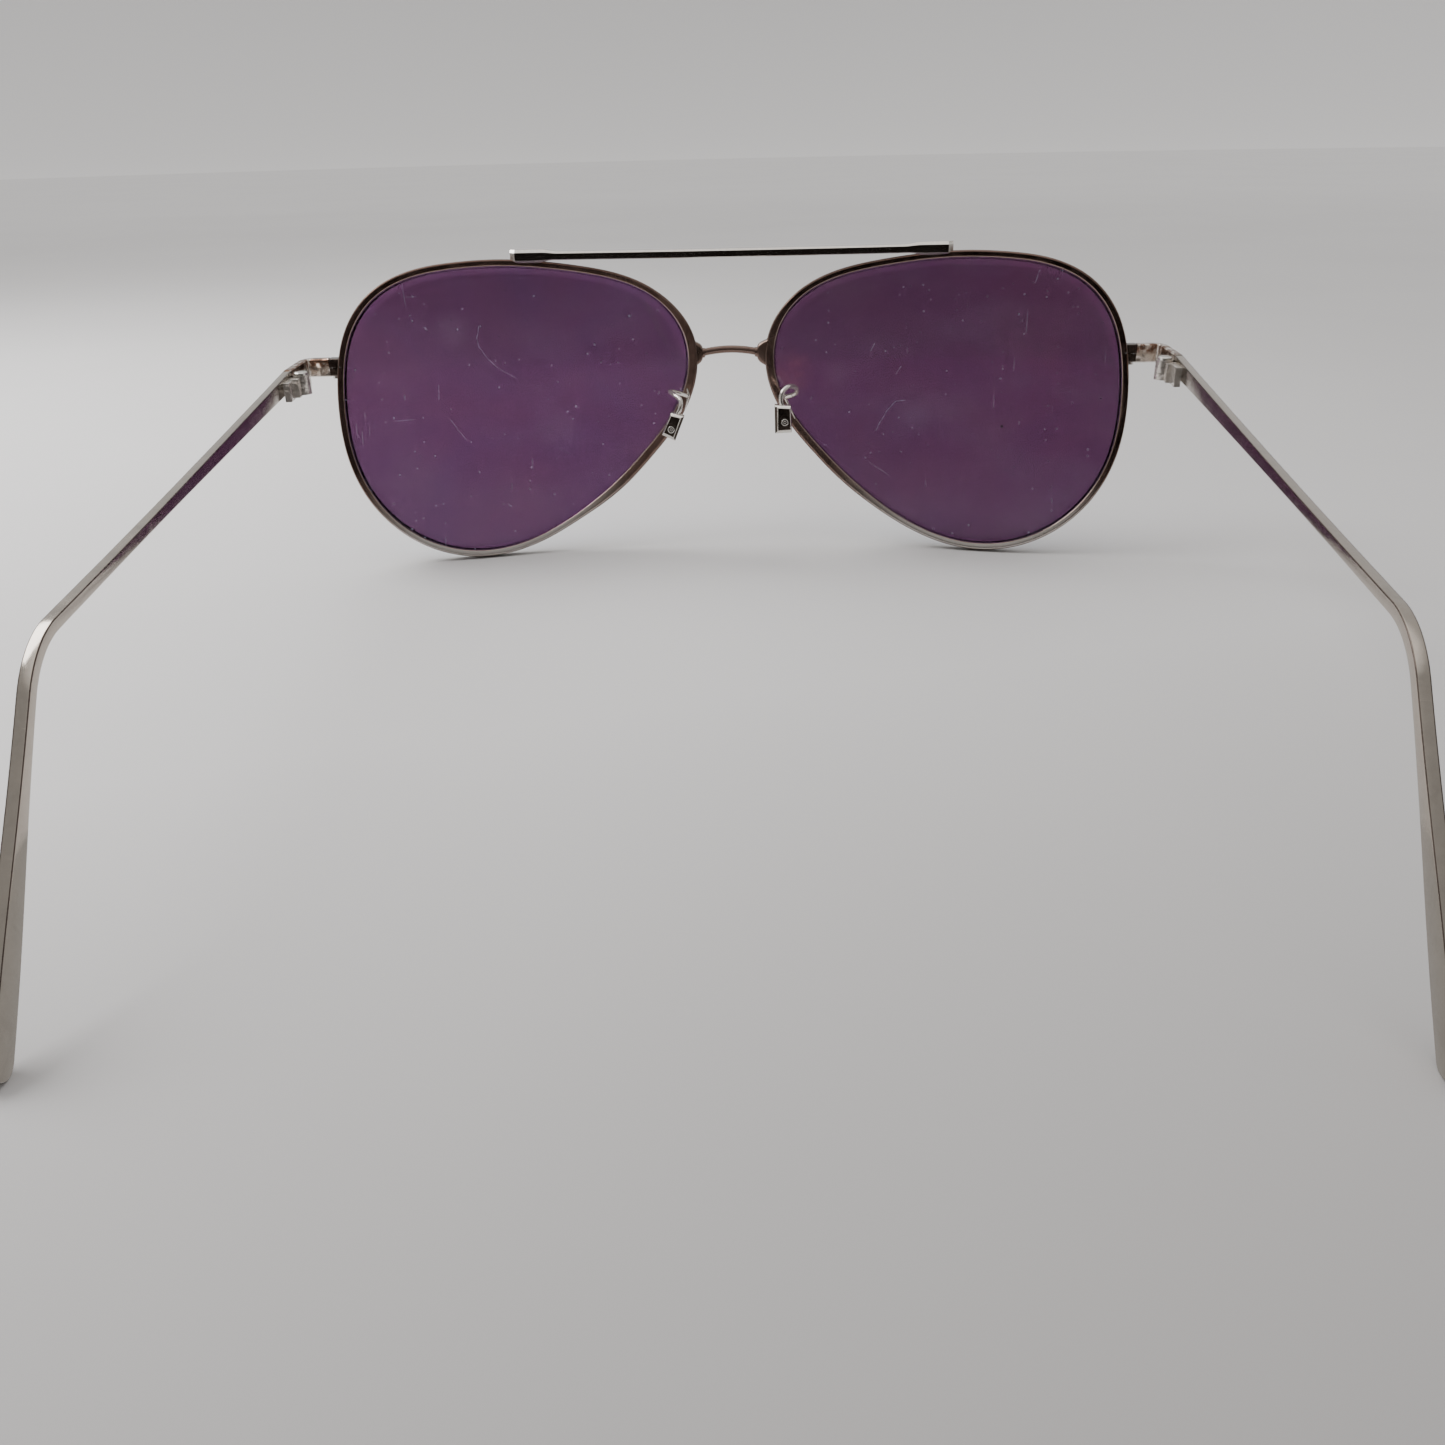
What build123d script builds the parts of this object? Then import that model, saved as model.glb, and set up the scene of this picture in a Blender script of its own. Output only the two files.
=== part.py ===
from build123d import *
import math
import os

# Metal aviator sunglasses with a brow bar, two tinted lenses, screwed temple
# hinges and screw-on pad boxes (the pads themselves are not fitted).
#
# Frame: X across (+X = wearer's left), +Y from the lenses towards the temple
# tips, +Z up.  The glasses stand on the two rim bottoms and the two temple
# tips at Z = 0.  All dimensions are millimetres.

os.makedirs("parts", exist_ok=True)

# ---------------------------------------------------------------- dimensions
LENS_CENTRE_X = 36.0      # half the distance between the lens box centres
LENS_CENTRE_Z = 23.62     # height of the lens box centre
WRAP = 7.07               # face-form angle of each lens, degrees
TILT = 9.39               # pantoscopic tilt, lens tops lean forward, degrees
LENS_BASE_R = 88.0        # radius of the rear lens surface (6 base)
LENS_T = 1.8              # lens thickness
BEVEL = 0.42              # height of the lens bevel ridge
BEVEL_T = 0.5             # thickness of the bevel ridge
RIM_W = 1.28              # outer edge of the rim wire, beyond the lens outline
EDGE_G = 0.22             # lens edge and inner wall of the rim, beyond the outline
RIM_BACK = 0.16           # rim stands proud of the rear lens surface
RIM_FRONT = 0.16          # rim stands proud of the front lens surface
RIM_ROUND = 0.30          # rounding of the outer rim corners
RIM_EASE = 0.08           # easing of the inner rim corners
SLIT = 0.16               # gap at the rim closing joint

Y_DATUM = -66.84          # Y of the lens datum; centres the object on Y = 0

# closing block (rim lock) at the temporal side of each rim
LOCK_X = (63.6, 65.85)
LOCK_Y = (4.75, 6.85)
LOCK_Z = (31.15, 33.90)
LOCK_SPLIT_Z = 32.50
LOCK_SCREW_D = 1.0
LOCK_SCREW_X, LOCK_SCREW_Y = 65.12, 5.75

# end piece: an L-shaped strap from the closing block back to the hinge
END_T = 1.2               # strap thickness of the rear leg
END_LEG_T = 1.3           # strap thickness of the side leg
END_H = 2.9               # strap height
END_BACK_Y = 6.85         # rear face of the side leg
END_SLOPE = 2.3           # downward slope towards the hinge, degrees
OUTER_X = 70.48           # outer face of the end piece and temple at the butt
BUTT_Y = 15.0             # plane where temple and end piece meet
BUTT_GAP = 0.06

# hinge
HINGE_X, HINGE_Y = 67.90, 14.60
KNUCKLE_R = 1.30
KNUCKLE_Z = (29.90, 30.86, 30.92, 31.84, 31.90, 32.80)  # front, temple, front
HINGE_SCREW_D = 1.20
HINGE_BORE_D = 1.30       # running fit of the temple knuckle on the screw
HINGE_HEAD_D, HINGE_HEAD_H = 2.10, 0.50
LEAF_T = 0.90             # hinge leaf thickness

# temple
TEMPLE_T = 1.20
TEMPLE_CONVERGE = 6.23    # plan angle of each temple towards the mid-plane
TEMPLE_SLOPE = 2.66       # downward slope of the straight part
TEMPLE_Z = 32.20          # centre height at the butt
TEMPLE_STRAIGHT = 98.2    # butt to bend corner, along the temple
DROP_ANGLE = 48.2         # angle of the end drop below horizontal
DROP_LENGTH = 36.55       # bend corner to the end of the tip
BEND_R = 11.0
# temple height along its length (distance from the butt, height)
HEIGHTS = [(0, 2.70), (10, 2.38), (26, 2.02), (40, 1.72), (53, 1.46),
           (66, 1.26), (80, 1.16), (98, 1.20), (105, 1.30), (111, 1.62),
           (116, 2.10), (121, 2.66), (126, 3.08), (131, 3.20), (140, 3.20)]
EDGE = 0.24               # chamfer of the temple edges

# bridge and brow bar
BRIDGE_D = 0.98
BRIDGE_END_X, BRIDGE_END_Z = 4.60, 32.38
BRIDGE_TOP_Z = 33.14
BRIDGE_Y = -0.55
BAR_HALF = 36.45
BAR_PAD_L = 6.9
BAR_Z = (47.52, 48.60)
BAR_PAD_Z = (47.22, 49.06)
BAR_Y = (-2.02, -0.32)

# nose pad boxes and arms
BOX_W, BOX_D, BOX_L = 1.95, 1.90, 3.95
BOX_WALL = 0.42
SLOT_W = 0.95
ARM_D = 0.80
PAD_SCREW_D = 0.72

# Lens edge, measured from the lens box centre: outward (away from the nose), up.
OUTLINE = [
    (28.50, 0.00), (27.98, 6.81), (26.04, 13.33), (21.79, 18.61),
    (15.69, 21.58), (8.95, 22.67), (2.12, 22.94), (-4.69, 22.50),
    (-11.46, 21.53), (-18.09, 19.93), (-24.07, 16.69), (-27.93, 11.17),
    (-28.10, 4.43), (-25.21, -1.72), (-20.83, -6.95), (-15.96, -11.75),
    (-10.56, -15.93), (-4.72, -19.47), (1.60, -22.03), (8.35, -22.94),
    (15.04, -21.71), (20.92, -18.29), (25.33, -13.12), (27.82, -6.79)]

# ------------------------------------------------------------------- helpers
w, p = math.radians(WRAP), math.radians(TILT)
E_U = Vector(math.cos(w), math.sin(w), 0)                 # outward
NORMAL = Vector(-math.sin(w) * math.cos(p), math.cos(w) * math.cos(p), math.sin(p))
LENS_PLANE = Plane(origin=(LENS_CENTRE_X, 0, LENS_CENTRE_Z), x_dir=E_U,
                   z_dir=NORMAL * -1)
LENS_LOC = LENS_PLANE.location


def parts_of(shape):
    """All solids of a shape as one Part."""
    found = shape.solids()
    return Part(children=None, label="") + found if len(found) > 1 else Part() + found[0]


def block(x, y, z):
    """Box given by its ranges."""
    return Pos((x[0] + x[1]) / 2, (y[0] + y[1]) / 2, (z[0] + z[1]) / 2) * Box(
        x[1] - x[0], y[1] - y[0], z[1] - z[0])


def rod(x, y, z0, z1, d):
    """Upright cylinder."""
    return Pos(x, y, (z0 + z1) / 2) * Cylinder(d / 2, z1 - z0)


base_edge = Spline(*OUTLINE, periodic=True)


def edge_face(grow):
    """Face bounded by the lens edge moved outwards by grow."""
    if abs(grow) < 1e-9:
        return make_face(Spline(*OUTLINE, periodic=True))
    n = 32
    pts = []
    for i in range(n):
        t = i / n
        q, d = base_edge @ t, base_edge % t
        pts.append((q.X + grow * d.Y, q.Y - grow * d.X))
    return make_face(Spline(*pts, periodic=True))


def prism(grow):
    return Pos(0, 0, -13) * extrude(edge_face(grow), amount=17)


def ball(r):
    return Pos(0, 0, -LENS_BASE_R) * Rot(90, 0, 0) * Sphere(r)


def shell(r0, r1):
    return ball(r1) - ball(r0)


def both(name, solid):
    """Keep a left piece and its mirror image."""
    nodes[name + "_left"] = solid
    nodes[name + "_right"] = mirror(solid, about=Plane.YZ)


nodes = {}

# --------------------------------------------------------------------- lens
r0, r1 = LENS_BASE_R, LENS_BASE_R + LENS_T
rm = (r0 + r1) / 2
lens_core = prism(EDGE_G) & shell(r0, r1)
bevel = (prism(EDGE_G + BEVEL) & shell(rm - BEVEL_T / 2, rm + BEVEL_T / 2)) - prism(-0.8)
lens_local = lens_core + bevel

# ---------------------------------------------------------------------- rim
band = (prism(RIM_W) - prism(EDGE_G)) & shell(r0 - RIM_BACK, r1 + RIM_FRONT)
long_edges = sorted(band.edges(), key=lambda e: e.length)
outer = [e for e in long_edges if e.length > 168.5]
inner = [e for e in long_edges if 120 < e.length <= 168.5]
try:
    band = fillet(outer, RIM_ROUND)
except Exception as err:
    print("outer rim rounding skipped", err)
rim_local = band - lens_local

lens = LENS_LOC * lens_local
rim = LENS_LOC * rim_local

slit = block((62.0, 68.0), (0.0, 10.0),
             (LOCK_SPLIT_Z - SLIT / 2, LOCK_SPLIT_Z + SLIT / 2))
rim_full = rim
rim = rim - slit
both("lens", lens)

# -------------------------------------------------------- rim closing block
lock = block(LOCK_X, LOCK_Y, LOCK_Z)
lock = fillet(lock.edges().filter_by(Axis.X).group_by(Axis.Z)[-1]
              + lock.edges().filter_by(Axis.X).group_by(Axis.Z)[0], 0.25)
# the block hugs the rim from outside and never enters the lens opening
cut = LENS_LOC * prism(RIM_W * 0.5)
lock = lock - cut - rim_full
upper = lock & block((60, 70), (0, 12), (LOCK_SPLIT_Z + SLIT / 2, 40))
lower = lock & block((60, 70), (0, 12), (25, LOCK_SPLIT_Z - SLIT / 2))
sx, sy = LOCK_SCREW_X, LOCK_SCREW_Y
lock_screw = (rod(sx, sy, LOCK_Z[0] + 0.0, LOCK_Z[1] - 0.45, LOCK_SCREW_D)
              + rod(sx, sy, LOCK_Z[0] - 0.45, LOCK_Z[0] + 0.0, 1.45))
lock_screw = lock_screw - block((sx - 1, sx + 1), (sy - 0.11, sy + 0.11),
                                (LOCK_Z[0] - 0.5, LOCK_Z[0] - 0.2))
upper = upper - rod(sx, sy, LOCK_SPLIT_Z - 1, LOCK_Z[1] - 0.45, LOCK_SCREW_D)
lower = lower - rod(sx, sy, LOCK_Z[0] - 1, LOCK_SPLIT_Z + 1, LOCK_SCREW_D + 0.06)
rim = rim - rod(sx, sy, LOCK_Z[0] - 0.5, LOCK_Z[1] - 0.45, LOCK_SCREW_D + 0.06)
rim = rim - rod(sx, sy, LOCK_Z[0] - 0.5, LOCK_Z[0] + 0.0, 1.5)
both("rim_lock_upper", upper)
both("rim_lock_lower", lower)
both("rim_lock_screw", lock_screw)
both("rim", rim)

# ---------------------------------------------------------------- end piece
half = END_H / 2
xi = OUTER_X - END_T
yf = END_BACK_Y - END_LEG_T
plan = Polyline((LOCK_X[1], yf), (OUTER_X, yf), (OUTER_X, BUTT_Y),
                (xi, BUTT_Y), (xi, END_BACK_Y), (LOCK_X[1], END_BACK_Y),
                (LOCK_X[1], yf))
strap = extrude(make_face(plan), amount=half, both=True)
corner = strap.edges().filter_by(Axis.Z).sort_by_distance((OUTER_X, yf, 0))[0]
strap = fillet(corner, 2.4)
corner = strap.edges().filter_by(Axis.Z).sort_by_distance((xi, END_BACK_Y, 0))[0]
strap = fillet(corner, 0.35)
rim_edges = [e for e in strap.edges() if abs(e.center().Z) > half - 0.01
             and e.length > 0.3 and abs(e.center().Y - BUTT_Y) > 0.05
             and abs(e.center().X - LOCK_X[1]) > 0.05]
try:
    strap = chamfer(rim_edges, 0.18)
except Exception as err:
    print("end piece edge chamfer skipped", err)
strap = Pos(0, END_BACK_Y, 32.50) * Rot(-END_SLOPE, 0, 0) * Pos(0, -END_BACK_Y, 0) * strap
# the butt face is trimmed square to Y so that it faces the temple end
strap = strap & block((60, 75), (0, BUTT_Y), (25, 40))
both("end_piece", strap)

# -------------------------------------------------------------------- hinge
z = KNUCKLE_Z
hx, hy = HINGE_X, HINGE_Y
leaf_x = (xi - LEAF_T, xi)
front_leaf = block(leaf_x, (9.2, hy), (z[0], z[5]))
front_leaf = fillet(front_leaf.edges().filter_by(Axis.X).group_by(Axis.Y)[0], 0.8)
front_leaf = front_leaf - rod(hx, hy, z[1], z[4], 2 * (KNUCKLE_R + 0.08))
for a, b in ((z[0], z[1]), (z[4], z[5])):
    front_leaf += rod(hx, hy, a, b, 2 * KNUCKLE_R)
    front_leaf += block((hx, xi), (hy - KNUCKLE_R, hy), (a, b)) & rod(
        hx, hy, a, b, 2 * 1.9)
front_leaf = front_leaf & block((60, xi), (0, 20), (25, 40))
front_leaf = front_leaf - rod(hx, hy, z[0], z[1], HINGE_SCREW_D)
front_leaf = front_leaf - rod(hx, hy, z[4], z[5], HINGE_SCREW_D + 0.04)
front_leaf = front_leaf - strap
both("hinge_front_leaf", front_leaf)

screw = rod(hx, hy, z[0], z[5], HINGE_SCREW_D) + rod(
    hx, hy, z[5], z[5] + HINGE_HEAD_H, HINGE_HEAD_D)
screw = chamfer(screw.edges().filter_by(GeomType.CIRCLE).group_by(Axis.Z)[-1], 0.12)
screw = screw - Pos(hx, hy, z[5] + HINGE_HEAD_H) * Rot(0, 0, 20) * Box(3, 0.32, 0.5)
both("hinge_screw", screw)

# ------------------------------------------------------------------- temple
# Side profile in the temple's own upright plane: a = distance back from the
# butt, z = height.  The centre line runs straight, bends and drops to the tip.
slope, drop = math.radians(TEMPLE_SLOPE), math.radians(DROP_ANGLE)
corner_a = TEMPLE_STRAIGHT * math.cos(slope)
corner_z = TEMPLE_Z - TEMPLE_STRAIGHT * math.sin(slope)
turn = drop - slope
tan_len = BEND_R * math.tan(turn / 2)
s_arc0 = TEMPLE_STRAIGHT - tan_len
s_arc1 = s_arc0 + BEND_R * turn
s_end = s_arc1 + (DROP_LENGTH - tan_len)


def centre_line(s):
    """Point and direction angle (below horizontal) at arc length s."""
    if s <= s_arc0:
        return (s * math.cos(slope), TEMPLE_Z - s * math.sin(slope), slope)
    if s <= s_arc1:
        ang = slope + (s - s_arc0) / BEND_R
        a0, z0 = s_arc0 * math.cos(slope), TEMPLE_Z - s_arc0 * math.sin(slope)
        cx, cz = a0 - BEND_R * math.sin(slope), z0 - BEND_R * math.cos(slope)
        return (cx + BEND_R * math.sin(ang), cz + BEND_R * math.cos(ang), ang)
    a1 = corner_a + tan_len * math.cos(drop)
    z1 = corner_z - tan_len * math.sin(drop)
    e = s - s_arc1
    return (a1 + e * math.cos(drop), z1 - e * math.sin(drop), drop)


def height_at(s):
    for (a, ha), (b, hb) in zip(HEIGHTS, HEIGHTS[1:]):
        if s <= b:
            return ha + (hb - ha) * (s - a) / (b - a)
    return HEIGHTS[-1][1]


conv = math.radians(TEMPLE_CONVERGE)
back = Vector(-math.sin(conv), math.cos(conv), 0)      # along the temple
inner_dir = Vector(-math.cos(conv), -math.sin(conv), 0)  # towards the head
butt_point = Vector(OUTER_X, BUTT_Y + BUTT_GAP, 0) + inner_dir * (TEMPLE_T / 2)


def section(s, h, t=TEMPLE_T):
    a, zz, ang = centre_line(s)
    o = butt_point + back * a + Vector(0, 0, zz)
    direction = back * math.cos(ang) - Vector(0, 0, math.sin(ang))
    pl = Plane(origin=o, x_dir=inner_dir, z_dir=direction)
    c = min(EDGE, h * 0.3)
    x, y = t / 2, h / 2
    g = 0.03        # spare on the outer side, planed off below
    pts = [(x - c, -y), (x, -y + c), (x, y - c), (x - c, y),
           (-x + c, y), (-x - g, y - c - g), (-x - g, -y + c + g), (-x + c, -y)]
    return pl * make_face(Polyline(*pts, pts[0]))


TIP_R = HEIGHTS[-1][1] / 2
stations = [0, 6, 14, 26, 40, 53, 66, 80, 88]
k = s_arc0
stations += [k - 1.5 if k - 1.5 > 89 else k]
stations += [s_arc0 + (s_arc1 - s_arc0) * i / 5 for i in range(0, 6)]
stations += [s_arc1 + 1.5, 105.5, 110, 114, 118, 122, 126, 130]
stations = sorted(set(round(q, 3) for q in stations if q < s_end - 3))
stations += [s_end]
temple = loft([section(q, height_at(q)) for q in stations])
# round end of the tip, a disc-shaped nose across the strip
a, zz, ang = centre_line(s_end - TIP_R)
o = butt_point + back * a + Vector(0, 0, zz)
direction = back * math.cos(ang) - Vector(0, 0, math.sin(ang))
side_plane = Plane(origin=o, x_dir=direction, z_dir=inner_dir)
keep = side_plane * extrude(make_face(Circle(TIP_R + 0.001)), amount=3, both=True)
trim = side_plane * extrude(Pos(TIP_R, 0) * Rectangle(2 * TIP_R, 4 * TIP_R), amount=3,
                            both=True)
temple = temple - (trim - keep)
temple = temple & block((0, 80), (BUTT_Y + BUTT_GAP, 200), (-5, 60))
# the outer side is planed to one flat face
outer_plane = Plane(origin=Vector(OUTER_X, BUTT_Y + BUTT_GAP, 0), x_dir=back,
                    z_dir=inner_dir * -1)
temple = temple - outer_plane * (Pos(70, 0, 1) * Box(200, 120, 2))
temple = Part() + max(temple.solids(), key=lambda q: q.volume)

# temple leaf of the hinge: middle knuckle, web and plate on the inner face
leaf_pl = Plane(origin=Vector(OUTER_X, BUTT_Y + BUTT_GAP, 0) + inner_dir * TEMPLE_T,
                x_dir=back, z_dir=Vector(0, 0, 1))
# local x back along the temple, local y points outwards (away from the head)
ly = leaf_pl.y_dir
sgn = 1 if ly.dot(inner_dir) > 0 else -1
t_leaf = leaf_pl * (Pos(0.9 + 2.55, sgn * LEAF_T / 2, (z[0] + z[5]) / 2 - 0.12) * Box(
    5.1, LEAF_T, z[5] - z[0] - 0.1))
t_leaf += leaf_pl * (Pos(0.9 + 1.1, sgn * (LEAF_T / 2 + 0.3), (z[0] + z[5]) / 2 - 0.12) * Box(
    1.5, LEAF_T + 0.6, z[5] - z[0] - 0.1))
web = block((hx, xi - 0.1), (hy, hy + 2.2), (z[2], z[3]))
t_leaf = t_leaf - rod(hx, hy, z[0] - 2, z[5] + 2, 2 * (KNUCKLE_R + 0.10))
t_leaf = t_leaf + rod(hx, hy, z[2], z[3], 2 * KNUCKLE_R) + web
t_leaf = t_leaf - rod(hx, hy, z[2], z[3], HINGE_BORE_D)
t_leaf = t_leaf - temple
# keep only the piece on the head side of the temple
t_leaf = Part() + max(t_leaf.solids(), key=lambda q: q.volume)
both("temple", temple)
both("hinge_temple_leaf", t_leaf)

# ------------------------------------------------------------------- bridge
bridge_path = Spline((-BRIDGE_END_X, BRIDGE_Y, BRIDGE_END_Z),
                     (-BRIDGE_END_X / 2, BRIDGE_Y - 0.2, BRIDGE_TOP_Z - 0.2),
                     (0, BRIDGE_Y - 0.28, BRIDGE_TOP_Z),
                     (BRIDGE_END_X / 2, BRIDGE_Y - 0.2, BRIDGE_TOP_Z - 0.2),
                     (BRIDGE_END_X, BRIDGE_Y, BRIDGE_END_Z))
bridge = sweep(Plane(origin=bridge_path @ 0, z_dir=bridge_path % 0) * Circle(BRIDGE_D / 2),
               path=bridge_path)
nodes["bridge"] = Part() + bridge.solids()[0]

# lugs that carry the bridge on the nasal side of each rim
tip = bridge_path @ 1
tip_dir = bridge_path % 1
lug_tip = Plane(origin=tip, x_dir=(0, 1, 0), z_dir=tip_dir) * Circle(0.66)
lug_root = Plane(origin=(7.45, BRIDGE_Y + 0.05, 32.45), x_dir=(0, 1, 0), z_dir=(1, 0, 0)) * (
    RectangleRounded(1.7, 4.2, 0.6))
lug_mid = Plane(origin=(5.9, BRIDGE_Y, 32.40), x_dir=(0, 1, 0), z_dir=(1, 0, 0)) * (
    RectangleRounded(1.6, 2.35, 0.7))
lug = loft([lug_tip, lug_mid, lug_root])
lug = lug - (LENS_LOC * prism(RIM_W * 0.5)) - rim_full
lug = Part() + max(lug.solids(), key=lambda q: q.volume)
both("bridge_lug", lug)

# ----------------------------------------------------------------- brow bar
bh, ph = BAR_HALF, BAR_HALF - BAR_PAD_L
t0, t1 = BAR_Z[1] + 0.02, BAR_PAD_Z[1]
b0, b1 = BAR_Z[0] + 0.04, BAR_PAD_Z[0]
profile = make_face([
    Line((-bh, b1), (-bh, t1)),
    Line((-bh, t1), (-ph - 1.7, t1)),
    Spline((-ph - 1.7, t1), (-ph + 1.2, t0), tangents=[(1, 0), (1, 0)]),
    ThreePointArc((-ph + 1.2, t0), (0, t0 - 0.08), (ph - 1.2, t0)),
    Spline((ph - 1.2, t0), (ph + 1.7, t1), tangents=[(1, 0), (1, 0)]),
    Line((ph + 1.7, t1), (bh, t1)),
    Line((bh, t1), (bh, b1)),
    Line((bh, b1), (ph + 2.4, b1)),
    Spline((ph + 2.4, b1), (ph - 0.3, b0), tangents=[(-1, 0), (-1, 0)]),
    ThreePointArc((ph - 0.3, b0), (0, b0 - 0.08), (-ph + 0.3, b0)),
    Spline((-ph + 0.3, b0), (-ph - 2.4, b1), tangents=[(-1, 0), (-1, 0)]),
    Line((-ph - 2.4, b1), (-bh, b1))])
bar = extrude(Plane(origin=(0, BAR_Y[1], 0), x_dir=(1, 0, 0), z_dir=(0, -1, 0)) * profile,
              amount=BAR_Y[1] - BAR_Y[0])
print("bar volume", bar.volume, bar.bounding_box())
try:
    bar = chamfer(bar.faces().sort_by(Axis.Y)[0].edges()
                  + bar.faces().sort_by(Axis.Y)[-1].edges(), 0.15)
except Exception as err:
    print("bar chamfer skipped", err)
rim_left_full = rim_full
rim_right_full = mirror(rim_full, about=Plane.YZ)
bar = bar - rim_left_full - rim_right_full
bar = bar - (LENS_LOC * prism(RIM_W * 0.6)) - mirror(LENS_LOC * prism(RIM_W * 0.6), about=Plane.YZ)
nodes["brow_bar"] = Part() + max(bar.solids(), key=lambda q: q.volume)


# ------------------------------------------------------- pad arms and boxes
def pad_set(side, box_top, box_tilt, box_turn, wire):
    """side: +1 left, -1 right.  box_top: middle of the box's upper end.
    box_tilt: lean of the box's lower end away from the nose, degrees.
    box_turn: turn of the open side towards the face, degrees."""
    # box frame: x away from the nose, y towards the face, z up
    frame = Location(box_top) * Location((0, 0, 0), (0, side * box_tilt * -1, 0)) * Location(
        (0, 0, 0), (0, 0, side * -1 * box_turn))
    body = Pos(0, 0, -BOX_L / 2) * Box(BOX_W, BOX_D, BOX_L)
    body = chamfer(body.edges(), 0.14)
    slot = Pos(-side * BOX_WALL, 0, -BOX_L / 2) * Box(BOX_W, SLOT_W, BOX_L - 2 * BOX_WALL)
    body = body - slot
    hole_z = -BOX_L * 0.62
    hole = Pos(0, 0, hole_z) * Rot(90, 0, 0) * Cylinder(PAD_SCREW_D / 2, BOX_D + 2)
    sink = Pos(0, BOX_D / 2 - 0.10, hole_z) * Rot(-90, 0, 0) * Cone(
        PAD_SCREW_D / 2, PAD_SCREW_D / 2 + 0.2, 0.2)
    body = body - hole - sink
    pin = Pos(0, -0.06, hole_z) * Rot(90, 0, 0) * Cylinder(PAD_SCREW_D / 2, BOX_D)
    head = Pos(0, -BOX_D / 2 - 0.2, hole_z) * Rot(90, 0, 0) * Cylinder(0.58, 0.4)
    head = head - Pos(0, -BOX_D / 2 - 0.4, hole_z) * Box(1.4, 0.3, 0.2)
    screw_ = pin + head
    body = body - head
    body, screw_ = frame * body, frame * screw_
    end = frame.position
    up = (frame * Location((0, 0, 1))).position - end
    pts = [Vector(*q) for q in wire] + [end + up * 1.1, end - up * 0.02]
    path = FilletPolyline(*pts, radius=[0.9] * (len(pts) - 2))
    arm = sweep(Plane(origin=path @ 0, z_dir=path % 0) * Circle(ARM_D / 2), path=path)
    # brazing foot on the rim
    foot = Pos(*wire[0]) * Sphere(0.72)
    arm = Part() + arm.solids()[0] + foot
    rim_side = rim_full if side > 0 else mirror(rim_full, about=Plane.YZ)
    lens_side = LENS_LOC * prism(RIM_W * 0.45)
    lens_side = lens_side & (LENS_LOC * ball(LENS_BASE_R + 0.9))
    if side < 0:
        lens_side = mirror(lens_side, about=Plane.YZ)
    arm = arm - rim_side - body
    front = LENS_LOC * ball(LENS_BASE_R + 3) - LENS_LOC * ball(LENS_BASE_R - RIM_BACK + 0.001)
    if side < 0:
        front = mirror(front, about=Plane.YZ)
    arm = arm - front
    arm = Part() + max(arm.solids(), key=lambda q: q.volume)
    return arm, Part() + body.solids()[0], Part() + screw_.solids()[0]


arm, box, pin = pad_set(
    1, (8.70, 9.30, 24.10), 27.0, 16.0,
    [(8.05, 0.55, 24.75), (9.0, 2.6, 26.3), (10.4, 5.0, 27.4), (8.6, 7.2, 26.9)])
nodes["pad_arm_left"], nodes["pad_box_left"], nodes["pad_screw_left"] = arm, box, pin
arm, box, pin = pad_set(
    -1, (-8.95, 9.30, 25.25), 6.5, 16.0,
    [(-8.35, 0.55, 25.1), (-10.6, 2.4, 26.0), (-11.5, 4.9, 27.6), (-9.0, 7.6, 28.2)])
nodes["pad_arm_right"], nodes["pad_box_right"], nodes["pad_screw_right"] = arm, box, pin

# ------------------------------------------------------------------- export
low = [1e9] * 3
high = [-1e9] * 3
for name, shape in sorted(nodes.items()):
    placed = Pos(0, Y_DATUM, 0) * shape
    solids = placed.solids()
    bb = placed.bounding_box()
    print(name, [round(v, 2) for v in tuple(bb.min)], [round(v, 2) for v in tuple(bb.max)],
          "solids", len(solids))
    for i in range(3):
        low[i] = min(low[i], tuple(bb.min)[i])
        high[i] = max(high[i], tuple(bb.max)[i])
    export_step(placed if len(solids) == 1 else Compound(children=list(solids)),
                "parts/" + name + ".step")
print("nodes", len(nodes))
print("low ", [round(v, 3) for v in low])
print("high", [round(v, 3) for v in high])
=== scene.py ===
import bpy
import bmesh
import math
import numpy as np
from mathutils import Vector, Matrix


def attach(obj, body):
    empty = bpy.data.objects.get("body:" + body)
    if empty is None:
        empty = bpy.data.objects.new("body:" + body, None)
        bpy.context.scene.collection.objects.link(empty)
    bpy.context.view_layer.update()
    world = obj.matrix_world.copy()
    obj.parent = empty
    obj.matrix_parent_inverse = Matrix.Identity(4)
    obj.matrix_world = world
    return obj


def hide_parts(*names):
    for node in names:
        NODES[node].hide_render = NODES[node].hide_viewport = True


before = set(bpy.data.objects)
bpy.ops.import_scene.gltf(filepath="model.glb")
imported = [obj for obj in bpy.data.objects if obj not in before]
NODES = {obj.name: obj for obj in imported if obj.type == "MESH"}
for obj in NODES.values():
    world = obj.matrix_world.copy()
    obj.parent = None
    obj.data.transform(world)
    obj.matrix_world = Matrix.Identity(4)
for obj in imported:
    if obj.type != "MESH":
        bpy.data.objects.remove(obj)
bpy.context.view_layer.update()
scene = bpy.context.scene
col = scene.collection

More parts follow.
